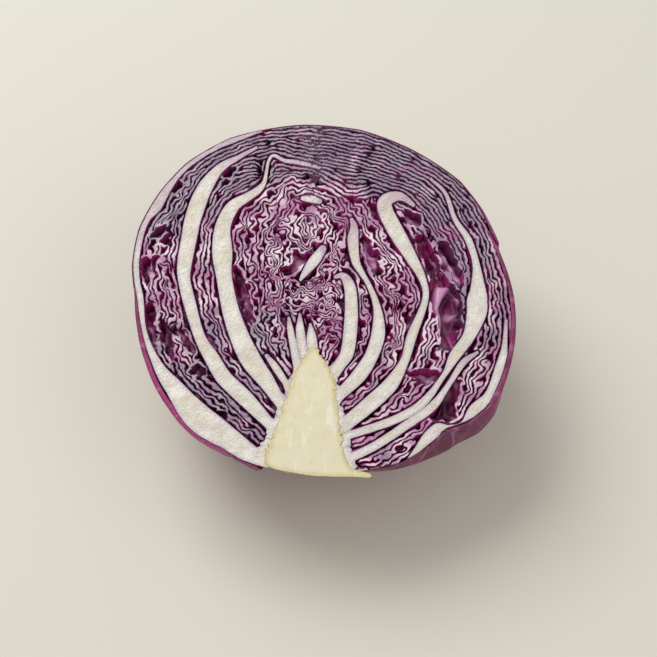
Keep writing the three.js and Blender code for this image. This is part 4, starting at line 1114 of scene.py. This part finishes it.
# The outer leaves
def wrapperShell(name, seed, ridge, material, node):
    # a grid over theta and phi, an outer skin and an inner one. The left leaf follows the envelope,
    # and the others lie under their neighbours. All stay above the level on which the head rests.
    phis = {"wrapperLeft": (0, 180), "wrapperUnder": (9, 153), "wrapperRight": (0, 130)}[name]
    phiRow = np.linspace(*phis, round((phis[1] - phis[0]) / wrappers["phiStep"]) + 1)
    fine = 0.5 * np.sin(phiRow * 0.83 + seed) + 0.35 * np.sin(phiRow * 1.7 + 2 * seed)
    end = interpolated(wrapperEnds[name], phiRow) + 1.6 * ripple(phiRow / 9, seed)
    end = end + fine * np.sin(np.radians(phiRow))
    rightBegin = 33 + 11 * smoothStep((24 - phiRow) / 12)
    begin = {"wrapperLeft": 0 * phiRow, "wrapperUnder": 34 + 0 * phiRow, "wrapperRight": rightBegin}[name]
    rows = round(float((end - begin).max()) / wrappers["thetaStep"])
    share = np.linspace(0, 1, rows + 1)[:, None]
    theta = begin + (end - begin) * share
    phi = np.broadcast_to(phiRow, theta.shape)
    fade = np.sin(np.radians(theta)) * np.sin(np.radians(phi))
    waves = np.sin(np.radians(5.2 * theta + 20)) * np.cos(np.radians(4.1 * phi - 35))
    relief = wrappers["swell"] * fade * waves
    relief += wrappers["crinkle"] * crinkle(theta, phi, 60 + seed) * fade
    distance = envelope(theta, phi)
    heading = towards(theta, phi)
    tilt = math.radians(head["faceTilt"])
    closing = -heading[..., 1] * math.sin(tilt) - heading[..., 2] * math.cos(tilt)
    level = np.where(closing > 0, wrappers["restLevel"] / np.maximum(closing, 1e-6), 1e9)
    lift, rib = smoothStep(1 - (end - theta) / 16), 0 * theta
    if name == "wrapperLeft":
        flare = np.where(phi < 150, np.where(phi < 9, 0.5, 1.6), 0.3) * lift
        overHang = 4 * pastOverlap(theta) * (1 - smoothStep(phi / 12))
        outer = np.minimum(distance + relief + flare - overHang, level - 1.2)
    else:
        drop = wrappers["thickness"] + wrappers["gap"]
        flare = np.where(phi <= 63, 3.4, 0) * lift * smoothStep((theta - 52) / 14)
        if name == "wrapperRight":
            drop, flare = rightDrop(theta, phi), 0
        rib = smoothStep(1 - np.abs(phi - ridge) / 15) * smoothStep((theta - 84) / 36)
        outer = np.minimum(distance - drop, level - relief) + relief + flare + wrappers["midrib"] * rib
        outer = np.minimum(outer, level)
    atCut = 1 - smoothStep((fromCut(phi) - 8) / 8)
    thickness = wrappers["thickness"] + (cutWidth(theta, phi) - wrappers["thickness"]) * atCut
    thickness = np.minimum(thickness, wrappers["edgeThickness"] + 1.5 * smoothStep((end - theta) / 9))
    core = aroundBack(interpolated(coreAway, theta), interpolated(coreAway, -theta), phi)
    base = -heading[..., 1] - heading[..., 2] * math.tan(math.radians(stemCore["baseSlant"]))
    core = np.where(base > 0, np.minimum(core, stemCore["baseBelow"] / np.maximum(base, 1e-6)), core)
    fleshy = smoothStep((theta - end + 26) / 20) * smoothStep((fromCut(phi) - 26) / 12) * (end > 125)
    inner = outer - thickness
    inner = inner + np.minimum(core + 0.8 - inner, 0) * fleshy
    grow = np.array([growX, growY, 0])
    skin, lining = grow + outer[..., None] * heading, grow + inner[..., None] * heading
    onCut = (phi == 180) | (phi == 0)
    skin[..., 2] -= np.where(onCut, 0.15 + 0.6 * np.maximum(cutWidth(theta, phi) - 0.6, 0), 0)
    lining[..., 2] -= np.where(onCut, 0.15, 0)
    shown = (fromCut(phi) < 1) * 1.0  # where the skin rounds over the cut edge, so that it is skin too
    # painted light and shade: the left side is coloured brighter magenta where the key light falls, and the
    # lower right side darker maroon where it lies in shade
    vivid = smoothStep((phi - 140) / 30) * smoothStep((theta - 66) / 14)
    vivid = vivid * (1 - smoothStep((theta - 108) / 20))
    dull = (1 - smoothStep((phi - 30) / 30)) * smoothStep((theta - 84) / 16)
    fields = {"along": theta, "across": phi - ridge, "fleshy": fleshy, "rib": rib}
    fields.update({"vivid": vivid, "dull": dull})
    closedSheet(name, skin, lining, shown, fields, material, node)


def closedSheet(name, skin, lining, shown, fields, material, node):
    # a skin and a lining with a wall along every edge; the head's top, where theta is 0, is one point
    rows, columns = shown.shape
    ids = np.arange(rows * columns).reshape(rows, columns)
    if fields["along"][0].max() == 0:
        ids[0] = 0
    a, b, c, d = ids[:-1, :-1], ids[:-1, 1:], ids[1:, 1:], ids[1:, :-1]
    flat = np.vstack([np.stack([a, d, c], -1).reshape(-1, 3), np.stack([a, c, b], -1).reshape(-1, 3)])
    flat = flat[(flat[:, 0] != flat[:, 1]) & (flat[:, 1] != flat[:, 2]) & (flat[:, 2] != flat[:, 0])]
    count = rows * columns
    lone = outlineOf(flat, count)
    kept, faces = numbered(np.vstack([flat, flat[:, ::-1] + count, wallBetween(lone, lone + count)]))
    points = np.vstack([skin.reshape(-1, 3), lining.reshape(-1, 3)])[kept]
    values = {label: np.tile(field.ravel(), 2)[kept] for label, field in fields.items()}
    values["outside"] = np.maximum(kept < count, np.tile(shown.ravel(), 2)[kept])
    p, q, r = points[faces[:, 0]], points[faces[:, 1]], points[faces[:, 2]]
    if (np.cross(q, r) * p).sum() < 0:  # six times the volume, below 0 when the faces look inwards
        faces = faces[:, ::-1]
    makePiece(name, points, faces, material, [node], values)


# the brighter magenta and the darker maroon below are painted light on the left side and painted shade on
# the lower right side
outerColours = colours(
    dark=(106, 24, 72), bright=(146, 38, 98), patch=(160, 60, 120), vivid=(178, 48, 122), dull=(98, 38, 66),
    net=(190, 120, 160), branch=(196, 134, 164), rib=(204, 168, 178), bloom=(150, 110, 146),
    flesh=(206, 178, 176), liningDark=(120, 34, 86), liningPale=(176, 96, 150),
)


def outerFinish():
    # dark purple skin under a matt pale bloom, with raised paler veins that branch from the rib, painted
    # light in brighter magenta on its left side and painted shade in darker maroon low on its right side
    finish = Finish("outerSkin")
    along, across = finish.value("along"), finish.value("across")
    outside, fleshy = finish.value("outside"), finish.value("fleshy")
    sway = finish.noise(45, 3)
    away = across.maths("ABSOLUTE", across)
    rising = (along + away * 0.8 + sway * 14) / 13
    branch = 1 - (rising.maths("PINGPONG", rising, 0.5) * 2).ramp(0.0, 0.16)
    branch = branch * (1 - (away / 60).ramp(0.5, 1.0) * 0.6)
    net = 1 - finish.cells(120, "DISTANCE_TO_EDGE").ramp(0.0, 0.10)
    fineNet = 1 - finish.cells(330, "DISTANCE_TO_EDGE").ramp(0.0, 0.10)
    rib = finish.value("rib")
    skin = finish.mix(finish.noise(60, 4).ramp(0.35, 0.7), outerColours["dark"], outerColours["bright"])
    # two of these layers are painted light and shade: brighter magenta on the left side, darker maroon low
    # on the right
    layers = {  # laid over the skin one after the other
        "patch": finish.noise(25, 3).ramp(0.45, 0.75) * 0.4, "vivid": finish.value("vivid") * 0.8,
        "dull": finish.value("dull") * 0.85, "net": net * 0.16, "branch": branch * 0.4, "rib": rib * 0.85,
        "bloom": finish.noise(160, 5, 0.65).ramp(0.4, 0.8) * 0.14, "flesh": fleshy * 0.6,
    }
    for name, share in layers.items():
        skin = finish.mix(share, skin, outerColours[name])
    blotches = finish.noise(90, 3).ramp(0.4, 0.7)
    inside = finish.mix(blotches, outerColours["liningDark"], outerColours["liningPale"])
    colour = finish.mix(outside, inside, skin)
    height = branch * 1.2 + net * 0.6 + fineNet * 0.25 + rib
    roughness = 0.48 + 0.16 * finish.noise(300, 3)
    return finish.close(colour, roughness, (height, 0.4, 0.0006), Coat_Weight=0.05, Coat_Roughness=0.4)


outerSkin = outerFinish()
wrapperShell("wrapperLeft", 1, 180, outerSkin, "wrapper_left")
wrapperShell("wrapperUnder", 2, 90, outerSkin, "wrapper_under")
wrapperShell("wrapperRight", 3, 27, outerSkin, "wrapper_right")
print("outer leaves wrapped")

# Floor, light and camera
studio = {
    "floor": fromScreen(226, 224, 211), "floorSize": 6.0,
    "key": {"energy": 11.3, "size": 0.9, "spot": (-0.55, 0.55, 1.15)},  # watts, m across, m
    "fill": {"energy": 3.6, "size": 1.4, "spot": (0.9, -0.7, 0.9)},
    "sky": (1.0, 0.98, 0.94, 1.0), "skyStrength": 0.46,
    "cameraAway": 0.806, "cameraTilt": 70.0, "lens": 104.2,  # m, degrees from the face's plane, mm
    "imageWidth": 657, "sensor": 36.0,  # pixels, mm
    "aim": (-3.5, 27.5),  # where the view's middle ray lies from the face's middle, in image pixels
}


def floorPiece():
    mesh = bpy.data.meshes.new("floor")
    half = studio["floorSize"] / 2
    corners = [(-half, -half, 0), (half, -half, 0), (half, half, 0), (-half, half, 0)]
    mesh.from_pydata(corners, [], [(0, 1, 2, 3)])
    floor = bpy.data.objects.new("floor", mesh)
    bpy.context.scene.collection.objects.link(floor)
    finish = Finish("paleFloor")
    mesh.materials.append(finish.close(studio["floor"], 0.85))


def softLight(name, light, target):
    lamp = bpy.data.lights.new(name, "AREA")
    lamp.energy, lamp.size = light["energy"], light["size"]
    holder = bpy.data.objects.new(name, lamp)
    holder.location = light["spot"]
    holder.rotation_euler = (Vector(light["spot"]) - Vector(target)).to_track_quat("Z", "Y").to_euler()
    bpy.context.scene.collection.objects.link(holder)


def cameraInPlace():
    # it looks down on the face at a fixed angle from the face's own plane, from straight in front
    lens = bpy.data.cameras.new("camera")
    lens.lens, lens.sensor_width = studio["lens"], studio["sensor"]
    lens.clip_end = 20
    holder = bpy.data.objects.new("camera", lens)
    perPixel = studio["sensor"] / studio["imageWidth"] / studio["lens"]
    aimX, aimY = studio["aim"]
    holder.rotation_euler = (math.radians(90 - studio["cameraTilt"] + head["faceTilt"]), 0, 0)
    turned = holder.rotation_euler.to_matrix() @ Vector((aimX * perPixel, aimY * perPixel, -1.0))
    middle = Vector(head["faceMiddle"]) * 0.001
    holder.location = middle - turned * studio["cameraAway"]
    bpy.context.scene.collection.objects.link(holder)
    bpy.context.scene.camera = holder


floorPiece()
middleOfFace = [c * 0.001 for c in head["faceMiddle"]]
softLight("keyLight", studio["key"], middleOfFace)
softLight("fillLight", studio["fill"], middleOfFace)
world = bpy.data.worlds.new("sky")
world.use_nodes = True
background = world.node_tree.nodes["Background"]
background.inputs["Color"].default_value = studio["sky"]
background.inputs["Strength"].default_value = studio["skyStrength"]
bpy.context.scene.world = world
bpy.context.scene.view_settings.view_transform = "Standard"
cameraInPlace()
print("floor, lights and camera in place")
